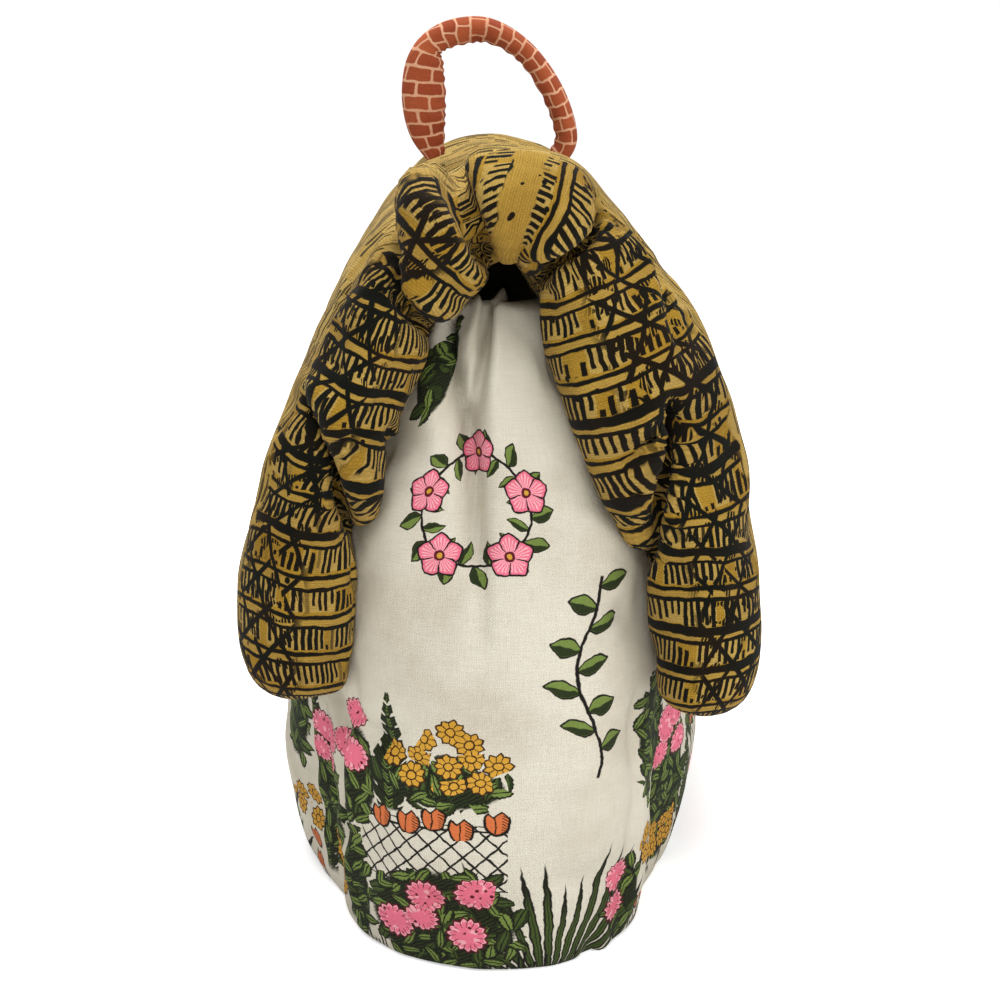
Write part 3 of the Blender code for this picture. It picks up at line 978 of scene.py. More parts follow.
def folded(strip, height):
    lift = np.zeros(len(strip))
    here = np.stack([strip, height], axis=1)
    for points, rise, width in FOLDS.values():
        gap, along, length = to_path(here, [np.array(point, float) for point in points])
        ends = smooth(along / 12.0 + 0.4) * smooth((length - along) / 12.0 + 0.25)
        lift += rise * ends * np.exp(-((gap / width) ** 2))
    return lift


print("folds of the front wall:", list(FOLDS))

# %% [markdown] ## Filling all pads  The thatch is held along its creases, and each wall along
# its side seams and its hem. After the filling each pad is subdivided once, and the sharp half
# of the folds is pressed in.

# %% Fill, subdivide and crease


def shape_thatch():
    station, way = noted(thatch_pad.data, "station"), noted(thatch_pad.data, "way")
    push(thatch_pad, creased(station, way, sharp=False) + swollen(station, way))
    fill_pad(thatch_pad, held_by_creases(station, way), 0.03, 3.0)
    subdivided(thatch_pad)
    station, way = noted(thatch_pad.data, "station"), noted(thatch_pad.data, "way")
    push(thatch_pad, creased(station, way, sharp=True) + lumps(thatch_pad, 38.0, 0.9, 1.0))
    close_creases(thatch_pad, station, way)
    push(thatch_pad, lumps(thatch_pad, 11.0, 0.22, 5.0))


def shape_wall(piece):
    share, height = noted(piece.data, "share"), noted(piece.data, "height")
    seams = (np.minimum(share, 1.0 - share) < 0.01) | (height < 1.0)
    fill_pad(piece, seams * 1.0, 0.02, 2.0)
    subdivided(piece)
    outside = noted(piece.data, "outside")
    lift = lumps(piece, 30.0, 0.5, 2.0) + lumps(piece, 9.0, 0.15, 7.0)
    if piece.name == "gable_front_panel":
        start, width = PANELS[piece.name][4:]
        share, height = noted(piece.data, "share"), noted(piece.data, "height")
        lift += folded(start + width * share, height)
    push(piece, lift * np.clip(outside * 2.0 - 1.0, -1.0, 1.0))


shape_thatch()
for panel in panels.values():
    shape_wall(panel)
pieces = [thatch_pad, *panels.values(), loop_strap]
print("faces:", {piece.name: len(piece.data.polygons) for piece in pieces})

# %% [markdown]
# ## Sums on a surface
#
# Prints on cloth are shapes, and a shader can draw a shape when it knows how far a point is from
# it. That takes a lot of arithmetic. A `Field` is a number that changes over the cloth: adding,
# multiplying or comparing Fields makes the Math nodes, so that the code reads like the sum.

# %% Fields


def connect(tree, value, slot):
    if isinstance(value, Field):
        tree.links.new(value.socket, slot)
    else:
        slot.default_value = value


class Field:
    """A number that changes over the cloth."""

    def __init__(self, tree, socket):
        self.tree = tree
        self.socket = socket

    def math(self, operation, *others):
        node = self.tree.nodes.new("ShaderNodeMath")
        node.operation = operation
        for value, slot in zip((self, *others), node.inputs):
            connect(self.tree, value, slot)
        return Field(self.tree, node.outputs["Value"])

    def __add__(self, other):
        return self.math("ADD", other)

    def __sub__(self, other):
        return self.math("SUBTRACT", other)

    def __rsub__(self, other):
        return (self * -1.0) + other

    def __mul__(self, other):
        return self.math("MULTIPLY", other)

    def __truediv__(self, other):
        return self.math("DIVIDE", other)

    __radd__ = __add__
    __rmul__ = __mul__

    def size(self):
        return self.math("ABSOLUTE")

    def whole(self):
        return self.math("FLOOR")

    def part(self):
        return self.math("FRACT")

    def least(self, other):
        return self.math("MINIMUM", other)

    def most(self, other):
        return self.math("MAXIMUM", other)

    def under(self, edge, soft=0.1):
        """1 where the field is less than edge and 0 where it is more, with a soft step."""
        node = self.tree.nodes.new("ShaderNodeMapRange")
        node.interpolation_type = "SMOOTHSTEP"
        node.inputs["From Min"].default_value = soft
        node.inputs["From Max"].default_value = -soft
        connect(self.tree, self - edge, node.inputs["Value"])
        return Field(self.tree, node.outputs["Result"])

    def over(self, edge, soft=0.1):
        return 1.0 - self.under(edge, soft)

    def between(self, low, high, soft=0.1):
        return self.over(low, soft) * self.under(high, soft)

    def near(self, middle, width, soft=0.1):
        """1 where the field is less than width away from middle."""
        return (self - middle).size().under(width, soft)

    def stripe(self, width, soft=0.1):
        """A line half way between each two whole numbers, width to each side."""
        return self.part().near(0.5, width, soft)


def any_of(masks):
    return functools.reduce(Field.most, masks)


print("a Field has:", [name for name in vars(Field) if not name.startswith("_")])

# %% [markdown]
# ## Textures as Fields
#
# Noise makes unevenness, white noise gives each stroke its own chance, and Voronoi scatters
# spots. These helpers take coordinates in millimetres of cloth and give Fields back.

# %% Texture helpers


def vector(tree, x=0.0, y=0.0, z=0.0):
    node = tree.nodes.new("ShaderNodeCombineXYZ")
    for value, slot in zip((x, y, z), node.inputs):
        connect(tree, value, slot)
    return node.outputs["Vector"]


def uneven(tree, x, y, size, detail=1.0, seed=0.0):
    """Soft noise from 0 to 1 whose lumps are about size mm, or (across, along) sizes."""
    wide, long = size if isinstance(size, tuple) else (size, size)
    node = tree.nodes.new("ShaderNodeTexNoise")
    node.inputs["Scale"].default_value = 1.0
    node.inputs["Detail"].default_value = detail
    tree.links.new(vector(tree, x / wide, y / long, seed), node.inputs["Vector"])
    return Field(tree, node.outputs["Fac"])


def chance(tree, x, y, seed=0.0):
    """A random number from 0 to 1 for each pair of whole numbers."""
    node = tree.nodes.new("ShaderNodeTexWhiteNoise")
    node.noise_dimensions = "3D"
    tree.links.new(vector(tree, x + 0.5, y + 0.5, seed), node.inputs["Vector"])
    return Field(tree, node.outputs["Value"])


def spots(tree, x, y, size, feature="F1", spread=1.0, seed=0.0):
    """A Voronoi texture with cells of size mm."""
    node = tree.nodes.new("ShaderNodeTexVoronoi")
    node.feature = feature
    node.inputs["Scale"].default_value = 1.0
    node.inputs["Randomness"].default_value = spread
    tree.links.new(vector(tree, x / size, y / size, seed), node.inputs["Vector"])
    return node


def split(tree, socket):
    """The first two numbers of a vector or a colour."""
    node = tree.nodes.new("ShaderNodeSeparateXYZ")
    tree.links.new(socket, node.inputs[0])
    return [Field(tree, output) for output in node.outputs[:2]]


def paint(tree, below, above, mask, blend="MIX"):
    """The colour above laid over the colour below where mask is 1, or multiplied with it."""
    node = tree.nodes.new("ShaderNodeMix")
    node.data_type = "RGBA"
    node.blend_type = blend
    slots = [slot for slot in node.inputs if slot.type == "RGBA"]
    for colour, slot in zip((below, above), slots):
        if isinstance(colour, tuple):
            slot.default_value = (*colour, 1.0)
        else:
            tree.links.new(colour, slot)
    connect(tree, mask, node.inputs["Factor"])
    return next(output for output in node.outputs if output.type == "RGBA")


def screen(red, green, blue):
    """A colour as a screen shows it (0 to 255), for a shader, which counts in light."""
    return tuple(((v / 255 + 0.055) / 1.055) ** 2.4 for v in (red, green, blue))


print("middle grey in light:", [round(v, 3) for v in screen(128, 128, 128)])

# %% [markdown]
# ## Node groups
#
# A group is a small machine that several materials can use. Its sockets have names, so a
# material says what goes in (places on the cloth, thread counts) and what comes out (a mask, a
# height). `make_group` opens one, and `use` places it in a material.

# %% Group helpers
KINDS = {"value": "NodeSocketFloat", "colour": "NodeSocketColor"}


def make_group(name, takes, gives):
    """A node group with value inputs and named outputs {title: kind}, and its inputs as Fields."""
    tree = bpy.data.node_groups.new(name, "ShaderNodeTree")
    for title in takes:
        tree.interface.new_socket(title, in_out="INPUT", socket_type=KINDS["value"])
    for title, kind in gives.items():
        tree.interface.new_socket(title, in_out="OUTPUT", socket_type=KINDS[kind])
    enter = tree.nodes.new("NodeGroupInput")
    leave = tree.nodes.new("NodeGroupOutput")
    return tree, [Field(tree, enter.outputs[title]) for title in takes], leave


def give(leave, title, value):
    leave.id_data.links.new(value.socket if isinstance(value, Field) else value, leave.inputs[title])


def use(tree, group, **values):
    node = tree.nodes.new("ShaderNodeGroup")
    node.node_tree = group
    for title, value in values.items():
        connect(tree, value, node.inputs[title])
    return node


# %% [markdown]
# ## Woven cloth
#
# All three cloths are plain weaves of different weight: fine linen, ribbed cotton and fine
# cotton. One thread goes over and the next under, so the height is a product of two waves whose
# signs change from thread to thread. In a ribbed cloth one set of threads is thick and hides the
# other. Real yarn is uneven, which shows as slubs. A true model of each thread would need
# millions of faces, so the weave is a height for the Bump node and a slight shade in the dips.

# %% Weave group


def make_weave_group():
    """Thread is the mm from one thread to the next, and Rib the share that the warp shows."""
    takes = ("Across", "Along", "Thread", "Rib")
    tree, given, leave = make_group("plain weave", takes, {"Height": "value", "Slub": "value"})
    across, along, thread, rib = given
    drift = uneven(tree, across, along, 9.0) - 0.5
    warp_wave = ((across + drift * 1.6) / thread * math.pi).math("SINE")
    weft_wave = ((along - drift * 1.6) / thread * math.pi).math("SINE")
    over = (warp_wave.size() * rib + weft_wave.size() * (1.0 - rib)) * 1.2 - 0.4
    crossing = warp_wave * weft_wave * (1.0 - rib)
    thick_warp = uneven(tree, across, along, (0.45, 7.0), detail=2.0, seed=3.0)
    thick_weft = uneven(tree, across, along, (7.0, 0.45), detail=2.0, seed=7.0)
    slub = thick_warp * rib + thick_weft * (1.0 - rib)
    give(leave, "Height", over * 0.8 + crossing * 0.8 + slub)
    give(leave, "Slub", slub)
    return tree


weave_group = make_weave_group()
print("weave nodes:", len(weave_group.nodes))

# %% [markdown]
# ## Wear and soiling
#
# Old padded linen is greyer where it was handled and in its folds, and has a few small grey
# specks. One group gives a soft grime mask and a speck mask for every cloth here.

# %% Soiling group


def make_soil_group():
    gives = {"Grime": "value", "Speck": "value"}
    tree, (across, along), leave = make_group("soiling", ("Across", "Along"), gives)
    clouds = uneven(tree, across, along, 38.0, detail=4.0, seed=2.0)
    fine = uneven(tree, across, along, 6.0, detail=3.0, seed=5.0)
    grime = clouds.over(0.52, 0.16) * (0.4 + fine * 0.8)
    cells = spots(tree, across, along, 11.0, seed=1.0)
    distance = Field(tree, cells.outputs["Distance"])
    tint, size = split(tree, cells.outputs["Color"])
    speck = distance.under(0.012 + size * 0.035, 0.02) * tint.over(0.6, 0.05)
    give(leave, "Grime", grime)
    give(leave, "Speck", speck)
    return tree


soil_group = make_soil_group()
print("soiling nodes:", len(soil_group.nodes))

# %% [markdown]
# ## The straw print
#
# The thatch cloth is printed like drawn straw. On the verges, courses run round the roll: a
# heavy line, a plain strip, a thin line and then short straws in clusters, some crossed by
# slanting ties. On the slopes, long thin straws run down from the ridge. Everything is worked
# out from the distance down the slope and the way across it, with a little noise so that no
# line is ruled. The layout is this cosy's own.

# %% Straw print group
COURSE = 12.4  # mm from one course to the next
STRAW_PITCH = 2.3
VERGE_PRINT = 52.0  # how far round from the lip the verge print reaches
FLANK = (22.0, 50.0)  # mm from the lip, where the ties are
SLOPE_ROW = 2.2
SLOPE_STRAW = 22.0
PLAIN_PEAK = (-1.0, 8.0)  # the strip of the print over the peak that has only dots


def verge_strokes(tree, down, over, left):
    """The courses round the roll: their ink, and where the cloth between straws is paler."""
    courses = down / COURSE + left * 0.37
    course = courses.whole() + left * 40.0
    place = courses.part()
    luck = chance(tree, course, 0.0)
    fat = luck.over(0.62, 0.01)
    swelling = uneven(tree, over, course * 5.3, (16.0, 1.0), seed=12.0) - 0.5
    heavy = place.near(0.12, 0.058 + fat * 0.065 + swelling * 0.09, 0.014)
    thin = place.near(0.40, 0.05 + swelling * 0.05, 0.012)
    straws = over / STRAW_PITCH + place * 0.5 + luck * 3.0
    straw = straws.whole()
    own = chance(tree, course, straw, 1.0)
    cluster = uneven(tree, straw, course * 7.7, (4.2, 1.0), seed=9.0)
    line = straws.stripe(0.22 + own * 0.13, 0.05)
    hanging = line * place.between(0.38, 0.78 + own * 0.4, 0.02) * cluster.over(0.43, 0.002)
    rising = line * place.between(1.0 - own * 0.5, 1.0, 0.02) * cluster.under(0.42, 0.002)
    under_straws = cluster.over(0.43, 0.002) * place.between(0.38, 0.98, 0.02)
    plain_strip = place.between(0.18, 0.36, 0.03)
    pale = (under_straws * 0.65).most(plain_strip * 0.3)
    return any_of((heavy, thin, hanging, rising)), pale


def tie_strokes(tree, down, over, across):
    """Slanting ties that cross each other on the outer flank of the roll, and dark tangles."""
    marks = []
    for lean, seed in ((10.5, 6.0), (-12.5, 16.0)):
        tie = (down / (COURSE * 1.25) + over / lean).stripe(0.085, 0.02)
        marks.append(tie * uneven(tree, down, over, (15.0, 9.0), seed=seed).over(0.38, 0.004))
    hatch = ((over + down * 0.3) / 1.15).stripe(0.36, 0.08)
    tangle = uneven(tree, down, over, (4.5, 6.0), seed=11.0).over(0.57, 0.01)
    return any_of((*marks, hatch * tangle)) * across.between(*FLANK, 3.0)


def slope_straws(tree, down, over, left):
    """Long thin straws on the slopes, dense and dark in places and pale between."""
    rows = over / SLOPE_ROW
    row = rows.whole() + left * 70.0
    lengths = down / SLOPE_STRAW + chance(tree, row, 2.0) * 7.0
    own = chance(tree, row, lengths.whole(), 3.0)
    other = chance(tree, row, lengths.whole(), 5.0)
    clumps = uneven(tree, down + left * 90.0, over, (30.0, 15.0), seed=15.0)
    width = 0.09 + own * 0.19 + clumps.over(0.54, 0.03) * 0.12
    ink = rows.stripe(width, 0.05) * lengths.part().under(0.3 + other * 0.6, 0.015) * clumps.over(0.36, 0.01)
    streaks = chance(tree, row, lengths.whole(), 8.0) * 0.5 + 0.5
    return ink * 0.85, streaks


def make_straw_group():
    gives = {"Ink": "value", "Pale": "value"}
    tree, (signed, across), leave = make_group("straw print", ("Down", "Across"), gives)
    shake = uneven(tree, signed, across, 5.0, detail=2.0) - 0.5
    sway = uneven(tree, signed, across, 30.0, seed=4.0) - 0.5
    down = signed.size() + shake * 1.3 + sway * 6.0
    over = across + shake * 1.2 + sway * 3.0
    back_lip = 2.0 * ROLL_CLOTH + SLOPE_CLOTH
    from_lip = across.least((across - back_lip).size()).least((back_lip + SLOPE_CLOTH) - across)
    left = signed.under(0.0, 0.01)
    strokes, pale = verge_strokes(tree, down, over, left)
    ties = tie_strokes(tree, down, over, from_lip) * down.over(25.0, 4.0)
    verge = (from_lip + (shake + sway) * 16.0).under(VERGE_PRINT, 1.0)
    dots = spots(tree, down, over, 4.8, spread=0.8)
    dot_tint, dot_size = split(tree, dots.outputs["Color"])
    dot = Field(tree, dots.outputs["Distance"]).under(0.14 + dot_size * 0.1, 0.02)
    dot = dot * dot_tint.over(0.35, 0.01) * verge
    slope_ink, slope_pale = slope_straws(tree, down, over, left)
    plain = (signed + shake * 4.0).between(*PLAIN_PEAK, 0.4)
    ink = strokes.most(ties) * verge * (1.0 - plain) + slope_ink * (1.0 - verge)
    give(leave, "Ink", ink.most(dot).least(1.0).most(0.0))
    straw_pale = pale * (1.0 - plain) + plain * 0.2
    give(leave, "Pale", (straw_pale * verge).most(slope_pale * (1.0 - verge)))
    return tree


straw_group = make_straw_group()
print("straw print nodes:", len(straw_group.nodes))

# %% [markdown]
# ## The garden print
#
# The linen has a printed border of garden plants that repeats once for each panel. The motifs
# are plain ones: round pink flower heads over leaves, ochre star flowers, clay-red tulips, blades
# of grass and dark sprays, and a wreath high on the panel. Each is drawn the way a printer's
# block would be: a flat colour inside an uneven dark outline.
#
# Scattered motifs sit in Voronoi cells. Whether a cell holds one is decided at the cell's own
# centre, so that no flower is ever cut in half.

# %% Print inks and layout
REPEAT = 160.0
INK = screen(26, 24, 20)
LEAF_DARK = screen(40, 50, 26)
LEAF_MIDDLE = screen(66, 82, 38)
LEAF_LIGHT = screen(112, 132, 66)
PINK = screen(230, 116, 142)
PINK_PALE = screen(243, 172, 184)
MAROON = screen(92, 26, 38)
OCHRE = screen(206, 156, 58)
BROWN = screen(62, 38, 20)
CLAY = screen(206, 112, 66)
LINEN = screen(212, 207, 193)

LEAVES = (
    # x, y, half width, half height
    (69.0, 17.0, 25.0, 21.0),
    (40.0, 62.0, 11.0, 17.0),
    (72.0, 64.0, 18.0, 8.0),
    (38.0, 22.0, 7.0, 22.0),
    (130.0, 16.0, 9.0, 15.0),
    (147.0, 70.0, 12.0, 26.0),
    (12.0, 38.0, 14.0, 28.0),
    (57.0, 190.0, 8.0, 15.0),
)
PINKS = (
    (70.0, 20.0, 22.0, 15.0),
    (39.0, 72.0, 10.0, 12.0),
    (131.0, 20.0, 7.0, 10.0),
    (15.0, 58.0, 12.0, 12.0),
)
OCHRES = ((73.0, 73.0, 17.0, 9.0), (148.0, 30.0, 10.0, 9.0), (14.0, 20.0, 12.0, 9.0))
TULIPS = ((66.0, 54.0, 26.0, 4.0), (150.0, 14.0, 9.0, 6.0))
SPRAYS = (
    # x, foot, top, half width
    (55.0, 54.0, 92.0, 7.5),
    (31.0, 6.0, 66.0, 6.0),
    (1.0, 10.0, 104.0, 8.0),
)
STUBBLE = ((72.0, 0.0, 40.0, 30.0), (140.0, 0.0, 16.0, 20.0))
FENCE = (43.0, 89.0, 30.0, 52.0)  # left, right, foot, top
GRASS_PLACE = (103.0, -15.0)  # where its blades fan out from
VINE_PLACE = (112.0, 11.0, 20.0)  # x, then its first and last leaf
VINE_STEP = 6.4
WREATH_PLACE = (80.0, 149.0)
WREATH_RADIUS = 17.0
WREATH_LEAVES = 26.0


def oval(right, up, wide, high, reach=1.0, soft=0.08):
    """1 inside the oval round the origin with these half sizes."""
    right, up = right / wide, up / high
    return (right * right + up * up).under(reach, soft)


def among(x, y, beds, reach=1.0, soft=0.02):
    """1 where the place (x, y) lies in one of the beds."""
    return any_of(
        oval(x - bed_x, y - bed_y, wide, high, reach, soft) for bed_x, bed_y, wide, high in beds
    )


def polar(x, y):
    """Distance and angle (in turns, from -0.5 to 0.5) of a place from the origin."""
    far = (x * x + y * y).math("SQRT")
    return far, y.math("ARCTAN2", x) / (2.0 * math.pi)


def ripple(turns, count):
    """A zigzag from 0 to 1 that goes round count times."""
    return ((turns * count + 0.25).part() - 0.5).size() * 2.0


print("beds of leaves:", len(LEAVES), "sprays:", len(SPRAYS))

# %% The border while it is drawn


class Border:
    """The border print: the places on the cloth, and the colour so far."""

    def __init__(self, tree, x, y):
        shake_x = uneven(tree, x, y, 3.0, detail=2.0, seed=20.0) - 0.5
        shake_y = uneven(tree, x, y, 3.0, detail=2.0, seed=30.0) - 0.5
        self.tree = tree
        self.x = x + shake_x * 1.3
        self.y = y + shake_y * 1.3
        self.start = (x / REPEAT).whole() * REPEAT
        self.local = self.x - self.start
        self.colour = LINEN

    def lay(self, colour, mask):
        self.colour = paint(self.tree, self.colour, colour, mask)

    def cells(self, size, spread, seed):
        """Scattered cells: place from the centre, the centre in the repeat, and luck."""
        cell = spots(self.tree, self.x, self.y, size, spread=spread, seed=seed)
        centre_x, centre_y = (place * size for place in split(self.tree, cell.outputs["Position"]))
        luck, other = split(self.tree, cell.outputs["Color"])
        return self.x - centre_x, self.y - centre_y, centre_x - self.start, centre_y, luck, other

    def hatch(self, pitch, lean, share):
        """Fine slanting lines that cover about share of the cloth."""
        return ((self.y - self.local * lean) / pitch).part().under(share, 0.12)


print("the print repeats every", REPEAT, "mm")

# %% Leaves and sprays


def draw_leaves(border):
    thicket = among(border.local, border.y, LEAVES, 0.78, 0.1)
    border.lay(INK, thicket)
    border.lay(LEAF_DARK, thicket * border.hatch(1.3, 0.6, 0.6))
    for size, seed, light in ((7.6, 1.0, LEAF_MIDDLE), (6.2, 21.0, LEAF_LIGHT)):
        right, up, at_x, at_y, luck, other = border.cells(size, 0.8, seed)
        angle = luck * (2.0 * math.pi)
        along = right * angle.math("COSINE") + up * angle.math("SINE")
        across = (up * angle.math("COSINE") - right * angle.math("SINE")).size()
        reach = along / (0.62 * size)
        half = (1.0 - reach * reach) * (0.26 * size) + ripple(along / 1.3, 1.0) * 0.25
        mask = among(at_x, at_y, LEAVES) * other.over(0.15, 0.01)
        border.lay(INK, mask * across.under(half + 0.4, 0.12))
        border.lay(LEAF_DARK, mask * across.under(half, 0.12))
        shine = across.between(0.35, half - 0.25 * size * other, 0.15)
        border.lay(light, mask * shine.most(across.under(half * 0.55, 0.2)))
        border.lay(INK, mask * across.under(0.2, 0.08) * half.over(0.0, 0.1))


def draw_sprays(border):
    for x, foot, top, wide in SPRAYS:
        right = (border.local - x).size()
        height = (border.y - foot) / (top - foot)
        room = (1.0 - height) * (height + 0.25).least(0.6) * wide * 2.0
        blade = ((border.y - right * 0.8) / 4.4).stripe(0.40, 0.05)
        inside = right.under(room - 1.0 + blade * 1.6, 0.15) * height.between(0.0, 1.0, 0.02)
        hatch = ((border.y - right * 0.8) / 1.1).part().under(0.35, 0.12)
        border.lay(LEAF_DARK, inside)
        border.lay(INK, inside * (1.0 - blade).most(hatch * right.over(room * 0.35, 0.6)))
        border.lay(LEAF_LIGHT, inside * blade * right.under(room * 0.3, 0.2) * hatch)


def draw_grass(border):
    x, y = GRASS_PLACE
    far, turns = polar(border.y - y, border.local - x)
    bent = turns * 43.0 + far * 0.012 * (turns * 8.0)
    blade = bent.whole()
    luck = chance(border.tree, blade, 1.0)
    tall = (far / (34.0 + luck * 30.0)).math("POWER", 2.0)
    half = (1.0 - tall) * 0.52
    gap = (bent.part() - 0.5).size()
    inside = gap.under(half, 0.04) * turns.size().under(0.22, 0.01)
    border.lay(LEAF_DARK, inside)
    border.lay(LEAF_MIDDLE, inside * gap.between(0.05, 0.22, 0.04) * luck.over(0.25, 0.01))
    border.lay(INK, inside * gap.over(half - 0.12, 0.04))
    stems = border.x / 1.7
    tall = chance(border.tree, stems.whole(), 9.0) * 9.0
    low = among(border.local, border.y, STUBBLE)
    border.lay(INK, stems.stripe(0.24, 0.08) * low * border.y.under(tall, 0.2))


print("plants that fill the border:", len(LEAVES) + len(SPRAYS))

# %% Flower heads


def draw_ochre_heads(border):
    right, up, at_x, at_y, luck, _ = border.cells(7.8, 0.6, 2.0)
    far, turns = polar(right, up)
    scallop = (1.0 - ripple(turns + luck, 9.0)) * 0.9
    reach = 2.9 + scallop
    mask = among(at_x, at_y, OCHRES)
    border.lay(BROWN, mask * far.under(reach + 0.6, 0.15))
    border.lay(OCHRE, mask * far.under(reach, 0.15))
    rays = ripple(turns + luck, 9.0).over(0.82, 0.08) * far.over(1.2, 0.2)
    border.lay(BROWN, mask * far.under(reach, 0.15) * rays)
    border.lay(BROWN, mask * far.near(1.3, 0.22, 0.12))


def draw_tulips(border):
    right, up, at_x, at_y, luck, _ = border.cells(8.4, 0.4, 3.0)
    mask = among(at_x, at_y, TULIPS)
    teeth = ripple(right / 4.0, 1.0) * 1.8
    cup = oval(right, up, 3.0, 3.8) * up.under(3.0 - teeth, 0.12)
    rim = oval(right, up, 3.7, 4.5) * up.under(3.7 - teeth, 0.12)
    border.lay(INK, mask * rim)
    border.lay(CLAY, mask * cup)
    border.lay(BROWN, mask * cup * (right + luck).near(0.0, 0.22, 0.1))
    border.lay(BROWN, mask * cup * right.over(1.2, 0.2) * border.hatch(0.9, -0.5, 0.4))


def draw_pink_heads(border):
    right, up, at_x, at_y, luck, other = border.cells(12.6, 0.45, 4.0)
    far, turns = polar(right, up * (0.95 + other * 0.3))
    reach = 4.4 + luck * 1.3 + (1.0 - ripple(turns, 15.0)) * 1.0
    mask = among(at_x, at_y, PINKS)
    cell = spots(border.tree, border.x, border.y, 2.5, spread=0.8)
    dots = Field(border.tree, cell.outputs["Distance"])
    patches = uneven(border.tree, border.x, border.y, 2.4, seed=44.0)
    border.lay(MAROON, mask * far.under(reach + 0.7, 0.15))
    border.lay(PINK_PALE, mask * far.under(reach, 0.12))
    border.lay(PINK, mask * far.under(reach - 0.5, 0.2) * patches.over(0.38, 0.04))
    border.lay(MAROON, mask * far.under(reach - 0.7, 0.2) * dots.under(0.21, 0.05))
    border.lay(MAROON, mask * far.between(reach - 1.7, reach, 0.1) * ripple(turns, 15.0).over(0.86, 0.06))


print("flower beds:", len(PINKS) + len(OCHRES) + len(TULIPS))

# %% Fence, vine and wreath


def draw_fence(border):
    left, right, foot, top = FENCE
    inside = border.local.between(left, right, 0.1) * border.y.between(foot, top, 0.1)
    laths = [((border.y + border.local * lean) / 6.4).stripe(0.07, 0.025) for lean in (1.0, -1.0)]
    rails = [border.y.near(height, 0.4, 0.12) for height in (foot, top - 2.0, top)]
    border.lay(INK, inside * any_of(laths + rails))


def draw_vine(border, out, along, step, shown, first=-99.0, last=99.0, size=1.0):
    """Leaves on both sides of a stem: out is the distance from it, along is counted in leaves."""
    leaf = along - out.size() * (0.3 / step)
    out = out / size
    step = step / size
    side = ((leaf.whole() * 0.5).part() - 0.25) * 4.0
    away = out * side
    lean = (leaf.part() - 0.5) * step
    shape = (away * (math.pi / 6.5)).math("SINE") * 1.75
    grown = shown * leaf.whole().between(first - 0.5, last - 0.5, 0.01)
    inside = lean.size().under(shape, 0.12) * away.between(0.0, 6.4, 0.1) * grown
    rim = lean.size().under(shape + 0.45, 0.12) * away.between(-0.2, 6.9, 0.1) * grown
    border.lay(INK, rim)
    border.lay(LEAF_LIGHT, inside)
    border.lay(LEAF_DARK, inside * lean.under(0.0, 0.15))
    stem = shown * along.between(first - 1.0, last, 0.05)
    border.lay(INK, out.size().under(0.4, 0.12) * stem)


def draw_climber(border):
    x, first, last = VINE_PLACE
    bend = (border.y / 9.0).math("SINE") * 4.0
    near = border.local.near(x, 17.0, 0.5)
    out = border.local - x - bend
    draw_vine(border, out, border.y / VINE_STEP, VINE_STEP, near, first, last, 1.45)


def draw_wreath(border):
    x, y = WREATH_PLACE
    far, turns = polar(border.local - x, border.y - y)
    shown = far.under(WREATH_RADIUS + 9.0, 0.5)
    step = 2.0 * math.pi * WREATH_RADIUS / WREATH_LEAVES
    draw_vine(border, far - WREATH_RADIUS, turns * WREATH_LEAVES, step, shown)
    fifth = ((turns + 0.05) * 5.0).part() / 5.0 - 0.1
    angle = fifth * (2.0 * math.pi)
    across = far * angle.math("SINE")
    up = far * angle.math("COSINE") - WREATH_RADIUS
    near, petal = polar(across, up)
    reach = 4.9 + (1.0 - ripple(petal, 5.0)) * 1.6
    border.lay(INK, near.under(reach + 0.6, 0.12))
    border.lay(PINK, near.under(reach, 0.12))
    border.lay(PINK_PALE, near.under(reach - 0.7, 0.2) * ripple(petal, 30.0).over(0.5, 0.15))
    between_petals = ripple(petal, 5.0).over(0.9, 0.05) * near.over(1.8, 0.2)
    border.lay(INK, near.under(reach, 0.12) * between_petals)
    border.lay(MAROON, near.under(1.6, 0.15))
    border.lay(OCHRE, near.under(0.8, 0.12))


print("wreath round", WREATH_PLACE, "fence", FENCE)

# %% Garden print group


def make_garden_group():
    tree, (x, y), leave = make_group("garden print", ("Across", "Up"), {"Colour": "colour"})
    border = Border(tree, x, y)
    drawing = (
        draw_fence,
        draw_sprays,
        draw_grass,
        draw_leaves,
        draw_tulips,
        draw_ochre_heads,
        draw_pink_heads,
        draw_climber,
        draw_wreath,
    )
    for draw in drawing:
        draw(border)
    give(leave, "Colour", border.colour)
    return tree


garden_group = make_garden_group()
print("garden print nodes:", len(garden_group.nodes))

# %% [markdown]
# ## The brick print
#
# The loop is cut from a cotton printed with running-bond bricks. Courses run across the strap.
# Each brick is a box with round corners, and every second course is moved by half a brick.

# %% Brick print group
BRICK_COURSE = 4.5
BRICK_LENGTH = 7.6
MORTAR = 0.7
BRICK_CORNER = 0.7


def make_brick_group():
    gives = {"Brick": "value", "Tone": "value"}
    tree, (along, around), leave = make_group("brick print", ("Along", "Round"), gives)
    shake = uneven(tree, along, around, 4.0) - 0.5
    drift = uneven(tree, along, around, 17.0, seed=3.0) - 0.5
    courses = (along + shake * 1.3 + drift * 4.0) / BRICK_COURSE
    course = courses.whole()
    luck = chance(tree, course, 3.0)
    bricks = (around + shake) / BRICK_LENGTH + course * 0.5 + luck * 0.24
    half_high = (BRICK_COURSE - MORTAR) / 2 - BRICK_CORNER
    half_long = (BRICK_LENGTH - MORTAR) / 2 - BRICK_CORNER
    past_high = ((courses.part() - 0.5).size() * BRICK_COURSE - half_high).most(0.0)
    past_long = ((bricks.part() - 0.5).size() * BRICK_LENGTH - half_long).most(0.0)
    corner_gap = (past_high * past_high + past_long * past_long).math("SQRT")
    give(leave, "Brick", corner_gap.under(BRICK_CORNER, 0.16))
    give(leave, "Tone", chance(tree, course, bricks.whole(), 5.0))
    return tree


